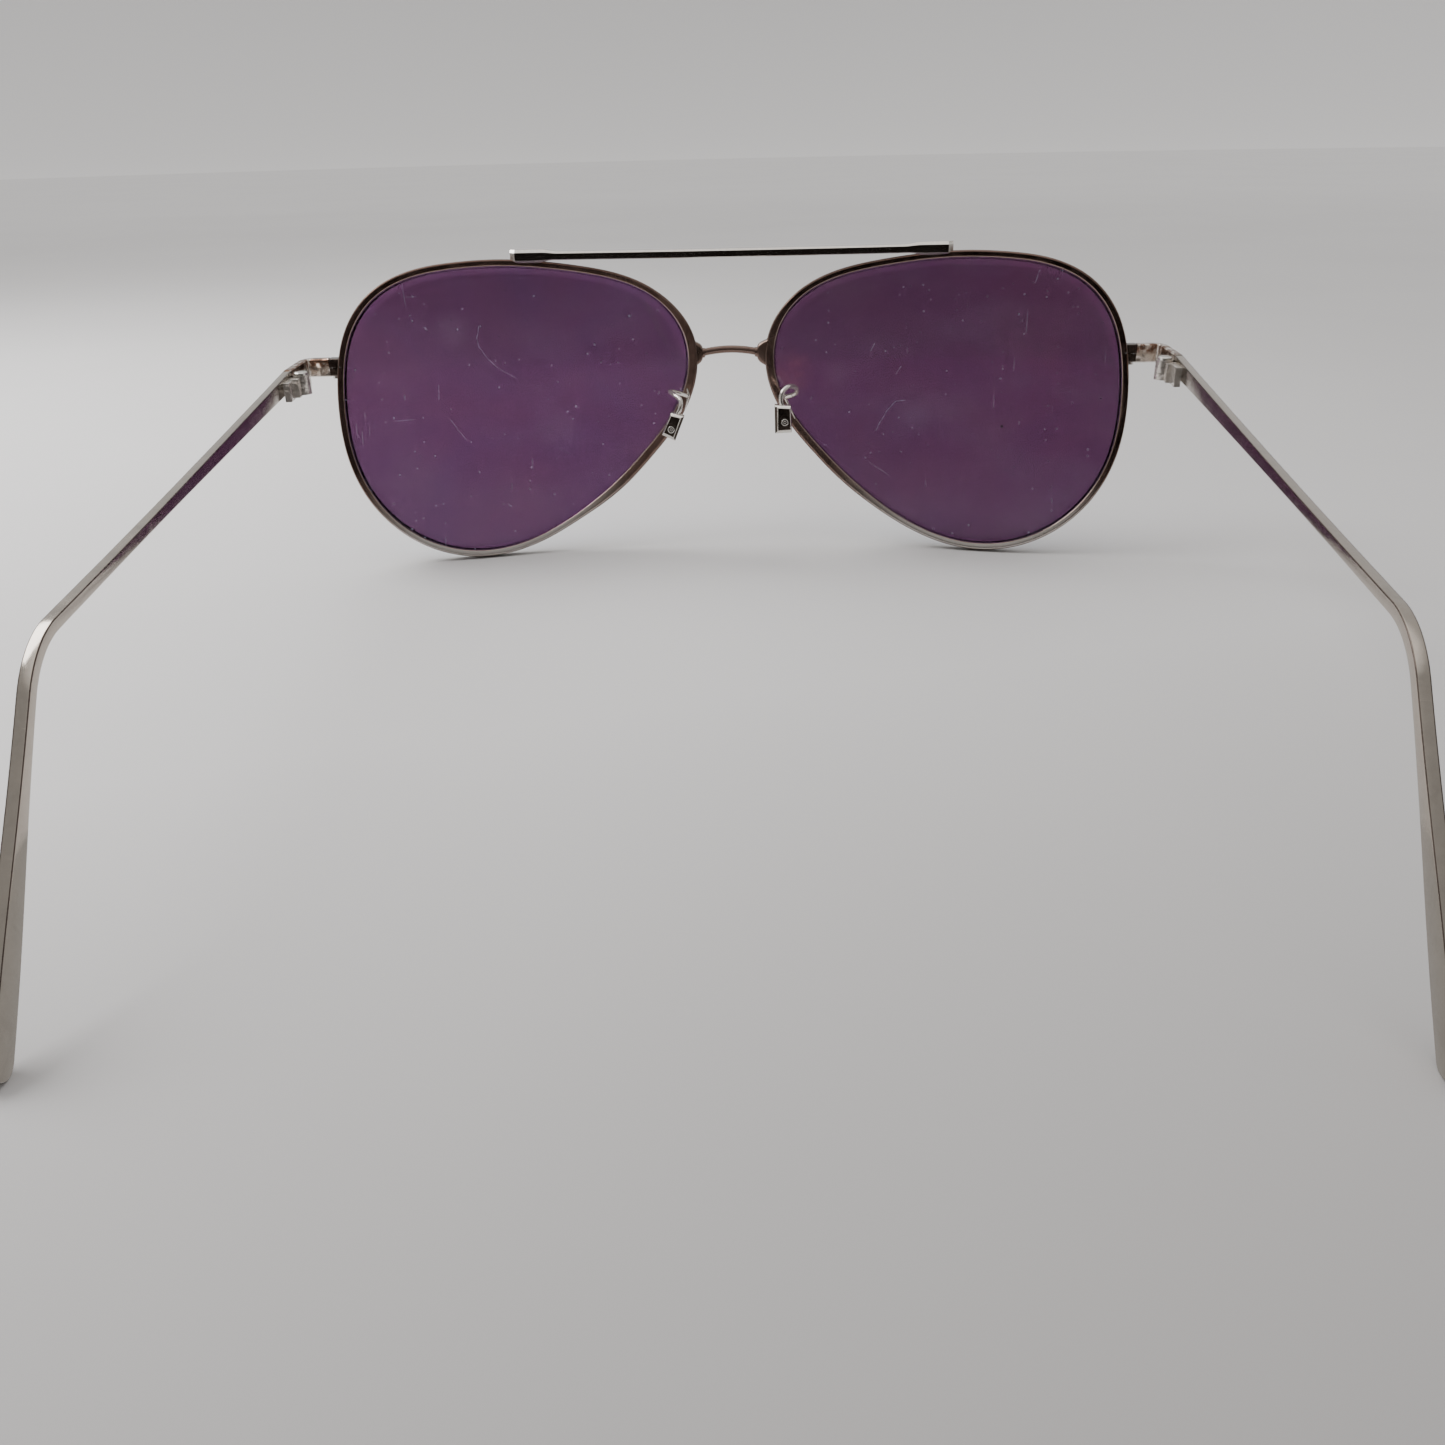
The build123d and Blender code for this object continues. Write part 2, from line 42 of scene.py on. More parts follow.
# ------------------------------------------------------------ shared numbers
# millimetres, in the lens datum frame (Y = 0 at the lens datum plane)
Y0 = -66.84
C_X, C_Z = 36.0, 23.62
WRAP, TILT = math.radians(7.07), math.radians(9.39)
R_BACK, LENS_T = 88.0, 1.8
RIM_W, EDGE_G, RIM_PROUD = 1.28, 0.22, 0.16
OUTLINE = [
    (28.50, 0.00), (27.98, 6.81), (26.04, 13.33), (21.79, 18.61),
    (15.69, 21.58), (8.95, 22.67), (2.12, 22.94), (-4.69, 22.50),
    (-11.46, 21.53), (-18.09, 19.93), (-24.07, 16.69), (-27.93, 11.17),
    (-28.10, 4.43), (-25.21, -1.72), (-20.83, -6.95), (-15.96, -11.75),
    (-10.56, -15.93), (-4.72, -19.47), (1.60, -22.03), (8.35, -22.94),
    (15.04, -21.71), (20.92, -18.29), (25.33, -13.12), (27.82, -6.79)]
E_U = np.array([math.cos(WRAP), math.sin(WRAP), 0.0])
E_N = -np.array([-math.sin(WRAP) * math.cos(TILT), math.cos(WRAP) * math.cos(TILT), math.sin(TILT)])
E_V = np.cross(E_N, E_U)
CENTRE = np.array([C_X, 0.0, C_Z])


def closed_spline(pts, count):
    """Evenly spaced points and outward normals on a closed cubic through pts."""
    P = np.array(pts, float)
    N = len(P)
    h = np.linalg.norm(np.roll(P, -1, 0) - P, axis=1)
    A, B = np.zeros((N, N)), np.zeros((N, 2))
    for i in range(N):
        hm, hi = h[i - 1], h[i]
        A[i, i - 1] += hm
        A[i, i] += 2 * (hm + hi)
        A[i, (i + 1) % N] += hi
        B[i] = 6 * ((P[(i + 1) % N] - P[i]) / hi - (P[i] - P[i - 1]) / hm)
    M = np.linalg.solve(A, B)
    out = []
    K = 200
    for i in range(N):
        j, hi = (i + 1) % N, h[i]
        s = np.linspace(0, 1, K, endpoint=False)[:, None] * hi
        a, b = hi - s, s
        out.append(M[i] * a ** 3 / (6 * hi) + M[j] * b ** 3 / (6 * hi)
                   + (P[i] / hi - M[i] * hi / 6) * a + (P[j] / hi - M[j] * hi / 6) * b)
    D = np.vstack(out)
    seg = np.linalg.norm(np.roll(D, -1, 0) - D, axis=1)
    cum = np.concatenate([[0], np.cumsum(seg)])
    D2 = np.vstack([D, D[:1]])
    want = np.linspace(0, cum[-1], count, endpoint=False)
    q = np.stack([np.interp(want, cum, D2[:, k]) for k in (0, 1)], -1)
    t = np.roll(q, -1, 0) - np.roll(q, 1, 0)
    t /= np.linalg.norm(t, axis=1)[:, None]
    return q, np.stack([t[:, 1], -t[:, 0]], -1), cum[-1]


def lens_point(uv, rho):
    """Point at plane position uv on the sphere of radius rho of the lens."""
    uv = np.asarray(uv, float)
    n = -R_BACK + np.sqrt(np.maximum(rho ** 2 - (uv ** 2).sum(-1), 0))
    return CENTRE + uv[..., :1] * E_U + uv[..., 1:2] * E_V + n[..., None] * E_N


def to_m(p, side=1):
    p = np.array(p, float)
    p = np.stack([p[..., 0] * side, p[..., 1] + Y0, p[..., 2]], -1)
    return p * 0.001


# ------------------------------------------------------------------ mesh kit
def rounded(x0, x1, y0, y1, r, n=5):
    """Counterclockwise rounded rectangle; r is one radius or four,
    in the order (x1,y1), (x0,y1), (x0,y0), (x1,y0)."""
    rs = r if isinstance(r, (tuple, list)) else (r,) * 4
    pts = []
    for (cx, cy, a0), rr in zip(((x1, y1, 0), (x0, y1, 90), (x0, y0, 180), (x1, y0, 270)), rs):
        sx = -1 if cx == x1 else 1
        sy = -1 if cy == y1 else 1
        for i in range(n + 1):
            a = math.radians(a0 + 90 * i / n)
            pts.append((cx + sx * rr + rr * math.cos(a), cy + sy * rr + rr * math.sin(a)))
    return np.array(pts)


def ring(r, n=24):
    a = np.linspace(0, 2 * math.pi, n, endpoint=False)
    return np.stack([r * np.cos(a), r * np.sin(a)], -1)


def loft_data(rings, closed=False, caps=True):
    rings = np.asarray(rings, float)
    n, m, _ = rings.shape
    faces = []
    for i in range(n if closed else n - 1):
        j = (i + 1) % n
        for k in range(m):
            l = (k + 1) % m
            faces.append((i * m + k, i * m + l, j * m + l, j * m + k))
    if caps and not closed:
        faces.append(tuple(reversed(range(m))))
        faces.append(tuple((n - 1) * m + k for k in range(m)))
    return rings.reshape(-1, 3), faces


def piece(name, verts, faces, mats, body, stands=(), angle=40, face_mats=None):
    me = bpy.data.meshes.new(name)
    me.from_pydata([tuple(v) for v in verts], [], [tuple(f) for f in faces])
    for m in (mats if isinstance(mats, (list, tuple)) else [mats]):
        me.materials.append(m)
    if face_mats is not None:
        me.polygons.foreach_set("material_index", list(face_mats))
    bm = bmesh.new()
    bm.from_mesh(me)
    bmesh.ops.recalc_face_normals(bm, faces=bm.faces)
    bm.to_mesh(me)
    bm.free()
    me.polygons.foreach_set("use_smooth", [True] * len(me.polygons))
    me.set_sharp_from_angle(angle=math.radians(angle))
    me.update()
    ob = bpy.data.objects.new(name, me)
    col.objects.link(ob)
    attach(ob, body)
    if stands:
        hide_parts(*stands)
    return ob


def frames_along(path, up=(0, 0, 1)):
    """Parallel-transported frames (tangent, side, up) along a polyline."""
    path = np.asarray(path, float)
    t = np.gradient(path, axis=0)
    t /= np.linalg.norm(t, axis=1)[:, None]
    n = np.array(up, float)
    n = n - t[0] * n.dot(t[0])
    n /= np.linalg.norm(n)
    out = []
    for k in range(len(path)):
        n = n - t[k] * n.dot(t[k])
        n /= np.linalg.norm(n)
        out.append((t[k], np.cross(t[k], n), n))
    return out


def sweep(path, profile, radii=None, up=(0, 0, 1)):
    rings = []
    for k, (t, s, n) in enumerate(frames_along(path, up)):
        f = 1.0 if radii is None else radii[k]
        rings.append([path[k] + f * (x * s + y * n) for x, y in profile])
    return np.array(rings)


def smooth_path(pts, rounds=4, spacing=None):
    """Corner cutting of a polyline, ends kept."""
    p = np.asarray(pts, float)
    for _ in range(rounds):
        q = [p[0]]
        for a, b in zip(p[:-1], p[1:]):
            q += [a * 0.75 + b * 0.25, a * 0.25 + b * 0.75]
        q.append(p[-1])
        p = np.array(q)
    return p


# ----------------------------------------------------------------- materials
class Mat:
    """Small helper that builds a node material."""

    def __init__(self, name):
        self.m = bpy.data.materials.new(name)
        self.m.use_nodes = True
        self.t = self.m.node_tree
        self.t.nodes.clear()
        self.out = self.t.nodes.new("ShaderNodeOutputMaterial")
        self.b = self.t.nodes.new("ShaderNodeBsdfPrincipled")
        self.link(self.b.outputs[0], self.out.inputs["Surface"])
        self.coord = self.t.nodes.new("ShaderNodeTexCoord").outputs["Object"]

    def link(self, a, b):
        self.t.links.new(a, b)

    def set(self, **kw):
        for k, v in kw.items():
            self.b.inputs[k.replace("_", " ")].default_value = v
        return self

    def mapped(self, scale=(1, 1, 1), loc=(0, 0, 0), rot=(0, 0, 0)):
        n = self.t.nodes.new("ShaderNodeMapping")
        n.inputs["Scale"].default_value = scale
        n.inputs["Location"].default_value = loc
        n.inputs["Rotation"].default_value = rot
        self.link(self.coord, n.inputs["Vector"])
        return n.outputs[0]

    def noise(self, scale, detail=4, rough=0.55, vec=None, distortion=0.0):
        n = self.t.nodes.new("ShaderNodeTexNoise")
        n.inputs["Scale"].default_value = scale
        n.inputs["Detail"].default_value = detail
        n.inputs["Roughness"].default_value = rough
        n.inputs["Distortion"].default_value = distortion
        self.link(vec if vec is not None else self.coord, n.inputs["Vector"])
        return n.outputs["Fac"]

    def ramp(self, fac, stops):
        n = self.t.nodes.new("ShaderNodeValToRGB")
        e = n.color_ramp.elements
        while len(e) < len(stops):
            e.new(0.5)
        for el, (pos, c) in zip(e, stops):
            el.position = pos
            el.color = (c, c, c, 1) if isinstance(c, (int, float)) else (*c, 1)
        self.link(fac, n.inputs[0])
        return n.outputs[0]

    def mix(self, fac, a, b, mode="MIX"):
        n = self.t.nodes.new("ShaderNodeMix")
        n.data_type = "RGBA"
        n.blend_type = mode
        for sock, v in ((n.inputs[0], fac), (n.inputs[6], a), (n.inputs[7], b)):
            if isinstance(v, (int, float)):
                sock.default_value = v
            elif isinstance(v, tuple):
                sock.default_value = (*v, 1)
            else:
                self.link(v, sock)
        return n.outputs[2]

    def math(self, op, a, b=0.0, clamp=False):
        n = self.t.nodes.new("ShaderNodeMath")
        n.operation = op
        n.use_clamp = clamp
        for sock, v in ((n.inputs[0], a), (n.inputs[1], b)):
            if isinstance(v, (int, float)):
                sock.default_value = v
            else:
                self.link(v, sock)
        return n.outputs[0]

    def bump(self, height, dist, strength=1.0, after=None):
        n = self.t.nodes.new("ShaderNodeBump")
        n.inputs["Strength"].default_value = strength
        n.inputs["Distance"].default_value = dist
        self.link(height, n.inputs["Height"])
        if after is not None:
            self.link(after, n.inputs["Normal"])
        return n.outputs[0]

    def into(self, name, sock):
        self.link(sock, self.b.inputs[name])
        return self


def metal(name, light, dark, tarnish, rough, tarnish_amount=0.5, grain=(60, 60, 60),
          scratch=0.5, seed=0.0, waves=0.0, wave_scale=220, metallic=1.0, edge=None,
          patina=None, shade=None):
    """Polished nickel silver: tarnish clouds, drawn grain, hairline scratches; with patina, painted light towards the
    bottom; with shade, painted shade blots higher up.
    """
    m = Mat(name)
    m.set(Metallic=metallic, IOR=1.5)
    if edge is not None:
        m.set(**{"Specular Tint": (*edge, 1), "Specular IOR Level": 0.2})
    off = m.mapped(loc=(seed, seed * 0.7, -seed))
    cloud = m.noise(260, 6, 0.62, vec=off, distortion=0.6)
    fine = m.noise(1900, 5, 0.65, vec=off)
    tarnish_and_shade = m.ramp(m.math("ADD", m.math("MULTIPLY", cloud, 0.75), m.math("MULTIPLY", fine, 0.25)),
                  [(0.42, 0.0), (0.72, 1.0)])
    base = m.mix(m.ramp(cloud, [(0.35, 0.0), (0.65, 1.0)]), dark, light)
    if patina is not None or shade is not None:
        sx = m.t.nodes.new("ShaderNodeSeparateXYZ")
        m.link(m.coord, sx.inputs[0])
        if patina is not None:
            # painted light: lighter and less tarnished towards the bottom, below 13 mm
            painted_floor_light = m.math("MULTIPLY", m.math("SUBTRACT", 0.013, sx.outputs["Z"]), 110.0, clamp=True)
            base = m.mix(m.math("MULTIPLY", painted_floor_light, 0.75), base, (0.66, 0.63, 0.59))
            tarnish_and_shade = m.math("MULTIPLY", tarnish_and_shade, m.math("SUBTRACT", 1.0, m.math("MULTIPLY", painted_floor_light, 0.7)))
        if shade is not None:
            # painted shade: dark blots above this height
            painted_shade_above = m.math("MULTIPLY", m.math("SUBTRACT", sx.outputs["Z"], shade), 1400.0, clamp=True)
            blot = m.ramp(m.noise(900, 3, 0.6, vec=off), [(0.40, 0.0), (0.54, 1.0)])
            tarnish_and_shade = m.math("MAXIMUM", tarnish_and_shade, m.math("MULTIPLY", painted_shade_above, blot))
    col_ = m.mix(m.math("MULTIPLY", tarnish_and_shade, tarnish_amount), base, tarnish)
    hair = m.noise(900, 3, 0.7, vec=m.mapped(scale=(1.0, 0.02, 1.0), rot=(0.2, 0.1, 0.35)))
    hair2 = m.noise(1100, 3, 0.7, vec=m.mapped(scale=(0.02, 1.0, 1.0), rot=(0.5, -0.2, -0.3)))
    lines = m.math("MAXIMUM", m.ramp(hair, [(0.60, 0.0), (0.68, 1.0)]),
                   m.ramp(hair2, [(0.61, 0.0), (0.69, 1.0)]))
    lines = m.math("MULTIPLY", lines, scratch)
    m.into("Base Color", col_)
    if patina is not None:
        # patina: (height in m where it ends, metallic near the nose, metallic above and at the sides)
        xyz = m.t.nodes.new("ShaderNodeSeparateXYZ")
        m.link(m.coord, xyz.inputs[0])
        above = m.math("MULTIPLY", m.math("SUBTRACT", xyz.outputs["Z"], patina[0]), 160.0, clamp=True)
        aside = m.math("MULTIPLY", m.math("SUBTRACT", m.math("ABSOLUTE", xyz.outputs["X"]), 0.030), 60.0, clamp=True)
        aside = m.math("MULTIPLY", aside, m.math("MULTIPLY", m.math("SUBTRACT", xyz.outputs["Z"], 0.006), 90.0, clamp=True))
        away = m.math("MAXIMUM", above, aside)
        mt = m.math("ADD", patina[1], m.math("MULTIPLY", away, patina[2] - patina[1]))
        m.into("Metallic", m.math("SUBTRACT", mt, m.math("MULTIPLY", tarnish_and_shade, 0.12), clamp=True))
    r = m.math("ADD", rough * 0.7, m.math("MULTIPLY", fine, rough * 0.6))
    r = m.math("ADD", r, m.math("MULTIPLY", tarnish_and_shade, 0.09))
    r = m.math("ADD", r, m.math("MULTIPLY", lines, 0.10), clamp=True)
    m.into("Roughness", r)
    h = m.noise(700, 4, 0.6, vec=m.mapped(scale=tuple(g / 60 for g in grain)))
    b1 = m.bump(h, 0.00002, 0.5)
    b2 = m.bump(lines, 0.000006, 0.6, after=b1)
    if waves:
        b2 = m.bump(m.noise(wave_scale, 2, 0.5, vec=off), waves, 1.0, after=b2)
    m.into("Normal", b2)
    return m.m


# patina also paints light: the rims are lighter below 13 mm
M_RIM = {1: metal("rim_metal_left", (0.36, 0.245, 0.205), (0.20, 0.122, 0.098), (0.11, 0.050, 0.036), 0.12,
                  tarnish_amount=0.65, seed=0.11, waves=0.00022, wave_scale=120, patina=(0.0425, 0.68, 0.93)),
         -1: metal("rim_metal_right", (0.36, 0.255, 0.215), (0.20, 0.128, 0.104), (0.10, 0.048, 0.036), 0.12,
                   tarnish_amount=0.65, seed=0.19, waves=0.00022, wave_scale=120, patina=(0.0350, 0.76, 1.0))}
# painted highlight: a lighter copy of the rim metal for the inner back lip of the rims
M_RIM_LIP_HIGHLIGHT = metal("rim_lip_painted_highlight", (0.60, 0.50, 0.45), (0.36, 0.27, 0.225), (0.18, 0.10, 0.07), 0.14,
                   tarnish_amount=0.6, seed=0.23, metallic=0.8)
# painted shade: a darker copy of the rim metal for the outer wall of the rims
M_RIM_WALL_SHADE = metal("rim_wall_painted_shade", (0.20, 0.150, 0.130), (0.13, 0.090, 0.075), (0.07, 0.040, 0.030), 0.34,
                   tarnish_amount=0.7, seed=0.15, metallic=0.55, edge=(0.35, 0.30, 0.27))
# shade paints dark blots on the upper half of the end pieces as painted shade
M_FRAME = metal("frame_metal", (0.88, 0.85, 0.80), (0.62, 0.55, 0.49), (0.20, 0.10, 0.06), 0.11,
                tarnish_amount=0.92, seed=0.37, waves=0.00045, wave_scale=260, metallic=0.92, shade=0.0322)
M_BRIDGE = metal("bridge_metal", (0.30, 0.21, 0.175), (0.17, 0.115, 0.092), (0.08, 0.040, 0.028), 0.16,
                 tarnish_amount=0.7, seed=0.45, waves=0.00012, wave_scale=240, metallic=0.72)
M_BLOCK = metal("block_metal", (0.11, 0.090, 0.078), (0.05, 0.040, 0.032), (0.03, 0.018, 0.013), 0.20,
                tarnish_amount=0.8, seed=0.49, waves=0.0002, wave_scale=300)
M_BAR = metal("bar_metal", (0.88, 0.85, 0.80), (0.70, 0.66, 0.61), (0.24, 0.15, 0.11), 0.12,
              tarnish_amount=0.45, seed=0.53)
# painted shade: a dark copy of the metal along the temples' upper edges
M_TEMPLE_EDGE_SHADE = metal("temple_edge_painted_shade", (0.13, 0.100, 0.082), (0.07, 0.050, 0.040), (0.04, 0.025, 0.018), 0.26,
               tarnish_amount=0.6, seed=0.77, metallic=0.6)
M_TEMPLE = metal("temple_metal", (0.54, 0.495, 0.435), (0.42, 0.375, 0.325), (0.25, 0.175, 0.125), 0.14,
                 tarnish_amount=0.35, grain=(60, 6, 60), seed=0.71, waves=0.00006, wave_scale=90)
M_PAD = metal("pad_metal", (0.92, 0.89, 0.84), (0.74, 0.70, 0.64), (0.30, 0.20, 0.13), 0.09,
              tarnish_amount=0.35, seed=0.83, waves=0.00012, wave_scale=500, metallic=0.80)
# painted dark reflection: a near-black copy of the pad metal for the back faces of the pad boxes
M_PAD_DARK_REFLECTION = metal("pad_back_painted_reflection", (0.16, 0.13, 0.11), (0.07, 0.055, 0.045), (0.03, 0.018, 0.012), 0.16,
                   tarnish_amount=0.8, seed=0.87)
M_HINGE = metal("hinge_metal", (0.88, 0.85, 0.80), (0.66, 0.61, 0.55), (0.24, 0.15, 0.10), 0.16,
                tarnish_amount=0.5, seed=0.97, waves=0.0004, wave_scale=420, metallic=0.72)
M_SCREW = metal("screw_metal", (0.90, 0.88, 0.85), (0.72, 0.69, 0.65), (0.30, 0.22, 0.15), 0.14,
                tarnish_amount=0.3, seed=1.13, metallic=0.80)


# marks on the back of the lenses: (x, z) points in mm, half width in mm, strength
MARKS = {
    1: [([(41.94, 37.67), (42.55, 35.77), (42.29, 34.30), (41.31, 32.64), (40.11, 31.28)], 0.10, 0.45),
        ([(40.11, 31.28), (39.35, 30.59), (36.64, 29.0)], 0.08, 0.30),
        ([(49.32, 28.55), (49.54, 26.13)], 0.09, 0.30),
        ([(47.89, 22.75), (46.88, 21.04), (45.52, 19.31)], 0.09, 0.30),
        ([(30.1, 17.2), (27.6, 15.9)], 0.07, 0.14), ([(22.3, 33.0), (21.4, 30.7)], 0.06, 0.14)],
    -1: [([(-24.98, 19.34), (-26.81, 22.58), (-28.31, 24.04), (-29.83, 24.19)], 0.10, 0.42),
         ([(-23.66, 32.25), (-24.47, 33.61)], 0.09, 0.35),
         ([(-28.17, 28.45), (-28.97, 29.74)], 0.09, 0.32),
         ([(-28.75, 42.25), (-28.90, 42.35)], 0.16, 0.50), ([(-32.0, 42.65), (-32.1, 42.75)], 0.15, 0.45),
         ([(-33.0, 41.85), (-33.1, 41.88)], 0.14, 0.40),
         ([(-49.61, 43.07), (-50.16, 44.99)], 0.10, 0.32),
         ([(-24.01, 14.04), (-27.24, 11.95)], 0.08, 0.26),
         ([(-54.70, 20.15), (-54.80, 20.22)], 0.20, 0.45),
         ([(-38.2, 30.6), (-39.3, 29.2)], 0.06, 0.15)]}
HAZE = {1: [((46.4, 37.2), 3.4, 0.12), ((29.9, 21.4), 5.5, 0.07), ((52.5, 15.0), 6.5, 0.05)],
        -1: [((-31.4, 21.8), 3.6, 0.11), ((-18.3, 28.7), 3.2, 0.07), ((-45.0, 36.0), 7.0, 0.04)]}
SPOTS = {1: [], -1: [((-46.05, 20.16), 0.30)]}


def lens_back(name, seed, side):
    m = Mat(name)
    m.set(Metallic=0.0, IOR=1.5, **{"Transmission Weight": 1.0})
    off = m.mapped(loc=(seed, -seed, seed * 0.3))
    cloud = m.noise(45, 4, 0.55, vec=off, distortion=0.8)
    fine = m.noise(700, 4, 0.7, vec=off)
    tints = {1: ((0.079, 0.0118, 0.041), (0.070, 0.0118, 0.047)),
             -1: ((0.077, 0.0110, 0.036), (0.070, 0.0108, 0.040))}[side]
    base = m.mix(m.ramp(cloud, [(0.35, 0.0), (0.65, 1.0)]), *tints)
    sm = m.t.nodes.new("ShaderNodeVectorMath")
    sm.operation = "DISTANCE"
    m.link(m.coord, sm.inputs[0])
    sm.inputs[1].default_value = (-0.0105, -0.066, 0.0295) if side < 0 else (0.0560, -0.066, 0.0120)
    rosy = m.math("SUBTRACT", 1.0, m.math("MULTIPLY", sm.outputs["Value"], 1 / 0.0045), clamp=True)
    rosy = m.math("MULTIPLY", rosy, m.ramp(m.noise(600, 4, 0.6), [(0.35, 0.1), (0.65, 1.0)]))
    base = m.mix(m.math("MULTIPLY", rosy, 0.55), base, (0.23, 0.026, 0.034))
    m.into("Base Color", base)
    smear = m.ramp(m.noise(90, 5, 0.6, vec=m.mapped(scale=(1.6, 1.0, 0.7), loc=(seed, 0, 0))),
                   [(0.55, 0.0), (0.80, 1.0)])
    r = m.math("ADD", m.math("MULTIPLY", smear, 0.10), m.math("MULTIPLY", fine, 0.02))
    m.into("Roughness", r)

    def vmath(op, a, b=None, k=None):
        n = m.t.nodes.new("ShaderNodeVectorMath")
        n.operation = op
        for sock, v in ((n.inputs[0], a), (n.inputs[1], b)):
            if isinstance(v, tuple):
                sock.default_value = v
            elif v is not None:
                m.link(v, sock)
        if k is not None:
            m.link(k, n.inputs["Scale"])
        return n

    # position in the X-Z plane in millimetres, slightly wavy
    wob = vmath("MULTIPLY", m.t.nodes.new("ShaderNodeTexNoise").outputs["Color"], (0.35, 0.0, 0.35)).outputs[0]
    nz = wob.node.inputs[0].links[0].from_node
    nz.inputs["Scale"].default_value = 900
    nz.inputs["Detail"].default_value = 2
    m.link(m.coord, nz.inputs["Vector"])
    flat = vmath("MULTIPLY", m.coord, (1000.0, 0.0, 1000.0)).outputs[0]
    pos = vmath("ADD", flat, wob).outputs[0]

    def near_segment(a, b, w):
        ax, bx = (a[0] + 0.175, 0.0, a[1] + 0.175), (b[0] - a[0], 0.0, b[1] - a[1])
        ll = bx[0] ** 2 + bx[2] ** 2
        rel = vmath("SUBTRACT", pos, ax).outputs[0]
        t = m.math("MULTIPLY", vmath("DOT_PRODUCT", rel, bx).outputs["Value"], 1.0 / ll, clamp=True)
        sc = vmath("SCALE", bx, k=t)
        dist = vmath("LENGTH", vmath("SUBTRACT", rel, sc.outputs[0]).outputs[0]).outputs["Value"]
        return m.math("SUBTRACT", 1.0, m.math("MULTIPLY", dist, 1.0 / w), clamp=True)

    total = None
    for pts, w, strength in MARKS[side]:
        for a, b in zip(pts[:-1], pts[1:]):
            v = m.math("MULTIPLY", near_segment(a, b, 0.66 * w), 1.25 * strength)
            total = v if total is None else m.math("MAXIMUM", total, v)
    broken = m.ramp(m.noise(1500, 3, 0.7), [(0.35, 0.35), (0.60, 1.0)])
    total = m.math("MULTIPLY", total, broken)
    # faint random hairlines and wiped-on film
    hair = m.noise(2600, 1, 0.5, vec=m.mapped(scale=(1.0, 0.05, 0.035), rot=(0.0, 0.6, 0.0), loc=(seed, 0, seed)))
    hair2 = m.noise(2400, 1, 0.5, vec=m.mapped(scale=(0.04, 0.05, 1.0), rot=(0.0, -0.5, 0.0), loc=(seed, 0, -seed)))
    patch = m.ramp(m.noise(110, 2, 0.5, vec=off), [(0.50, 0.0), (0.62, 1.0)])
    hairs = m.math("MULTIPLY", m.math("MAXIMUM", m.ramp(hair, [(0.72, 0.0), (0.76, 1.0)]),
                                      m.ramp(hair2, [(0.73, 0.0), (0.77, 1.0)])), m.math("MULTIPLY", patch, 0.14))
    speck = m.math("MULTIPLY", m.ramp(m.noise(1500, 1, 0.5, vec=off), [(0.74, 0.0), (0.79, 1.0)]), 0.26)
    film = m.math("MULTIPLY", m.ramp(m.noise(60, 5, 0.65, vec=m.mapped(scale=(1.0, 1.0, 2.2), rot=(0, 0.5, 0))),
                                     [(0.45, 0.0), (0.80, 1.0)]), 0.045)
    for (hx, hz_), rad, amount in HAZE[side]:
        dist = vmath("LENGTH", vmath("SUBTRACT", pos, (hx, 0.0, hz_)).outputs[0]).outputs["Value"]
        blob = m.math("SUBTRACT", 1.0, m.math("MULTIPLY", dist, 1.0 / rad), clamp=True)
        blob = m.math("MULTIPLY", blob, m.math("MULTIPLY", m.math("ADD", smear, 0.40), amount * 1.3))
        film = m.math("ADD", film, blob)
    cover = m.math("ADD", m.math("MAXIMUM", total, m.math("MAXIMUM", hairs, speck)), film, clamp=True)
    dust = m.t.nodes.new("ShaderNodeBsdfPrincipled")
    dust.inputs["Base Color"].default_value = (0.60, 0.62, 0.80, 1)
    dust.inputs["Roughness"].default_value = 0.6
    mixer = m.t.nodes.new("ShaderNodeMixShader")
    m.link(cover, mixer.inputs[0])
    m.link(m.b.outputs[0], mixer.inputs[1])
    m.link(dust.outputs[0], mixer.inputs[2])
    last = mixer.outputs[0]
    for (sx, sz_), rad in SPOTS[side]:
        dist = vmath("LENGTH", vmath("SUBTRACT", flat, (sx, 0.0, sz_)).outputs[0]).outputs["Value"]
        dot = m.math("MULTIPLY", m.math("SUBTRACT", rad, dist), 8.0, clamp=True)
        soot = m.t.nodes.new("ShaderNodeBsdfPrincipled")
        soot.inputs["Base Color"].default_value = (0.02, 0.012, 0.02, 1)
        soot.inputs["Roughness"].default_value = 0.7
        mx = m.t.nodes.new("ShaderNodeMixShader")
        m.link(m.math("MULTIPLY", dot, 0.8), mx.inputs[0])
        m.link(last, mx.inputs[1])
        m.link(soot.outputs[0], mx.inputs[2])
        last = mx.outputs[0]
    m.link(last, m.out.inputs["Surface"])
    return m.m


def lens_front(name):
    m = Mat(name)
    m.set(Metallic=0.55, IOR=1.5, Roughness=0.03, **{"Transmission Weight": 1.0})
    cloud = m.noise(30, 3, 0.5)
    m.into("Base Color", m.mix(m.ramp(cloud, [(0.3, 0.0), (0.7, 1.0)]), (0.50, 0.72, 0.90), (0.60, 0.70, 0.92)))
    return m.m


M_LENS = {1: lens_back("lens_tint_left", 0.21, 1), -1: lens_back("lens_tint_right", 0.64, -1)}
M_FLASH = lens_front("lens_flash")

# ------------------------------------------------------------ rims and lenses
COUNT = 720
Q, NRM, PERIM = closed_spline(OUTLINE, COUNT)
rho0, rho1 = R_BACK - RIM_PROUD, R_BACK + LENS_T + RIM_PROUD

# the rim is cut at the closing block, where the mid line crosses this height
mid = lens_point(Q + NRM * 0.66, R_BACK + 0.9)
k_slit = max((k for k in range(COUNT) if Q[k, 0] > 20),
             key=lambda k: -abs(mid[k, 2] - 32.50))


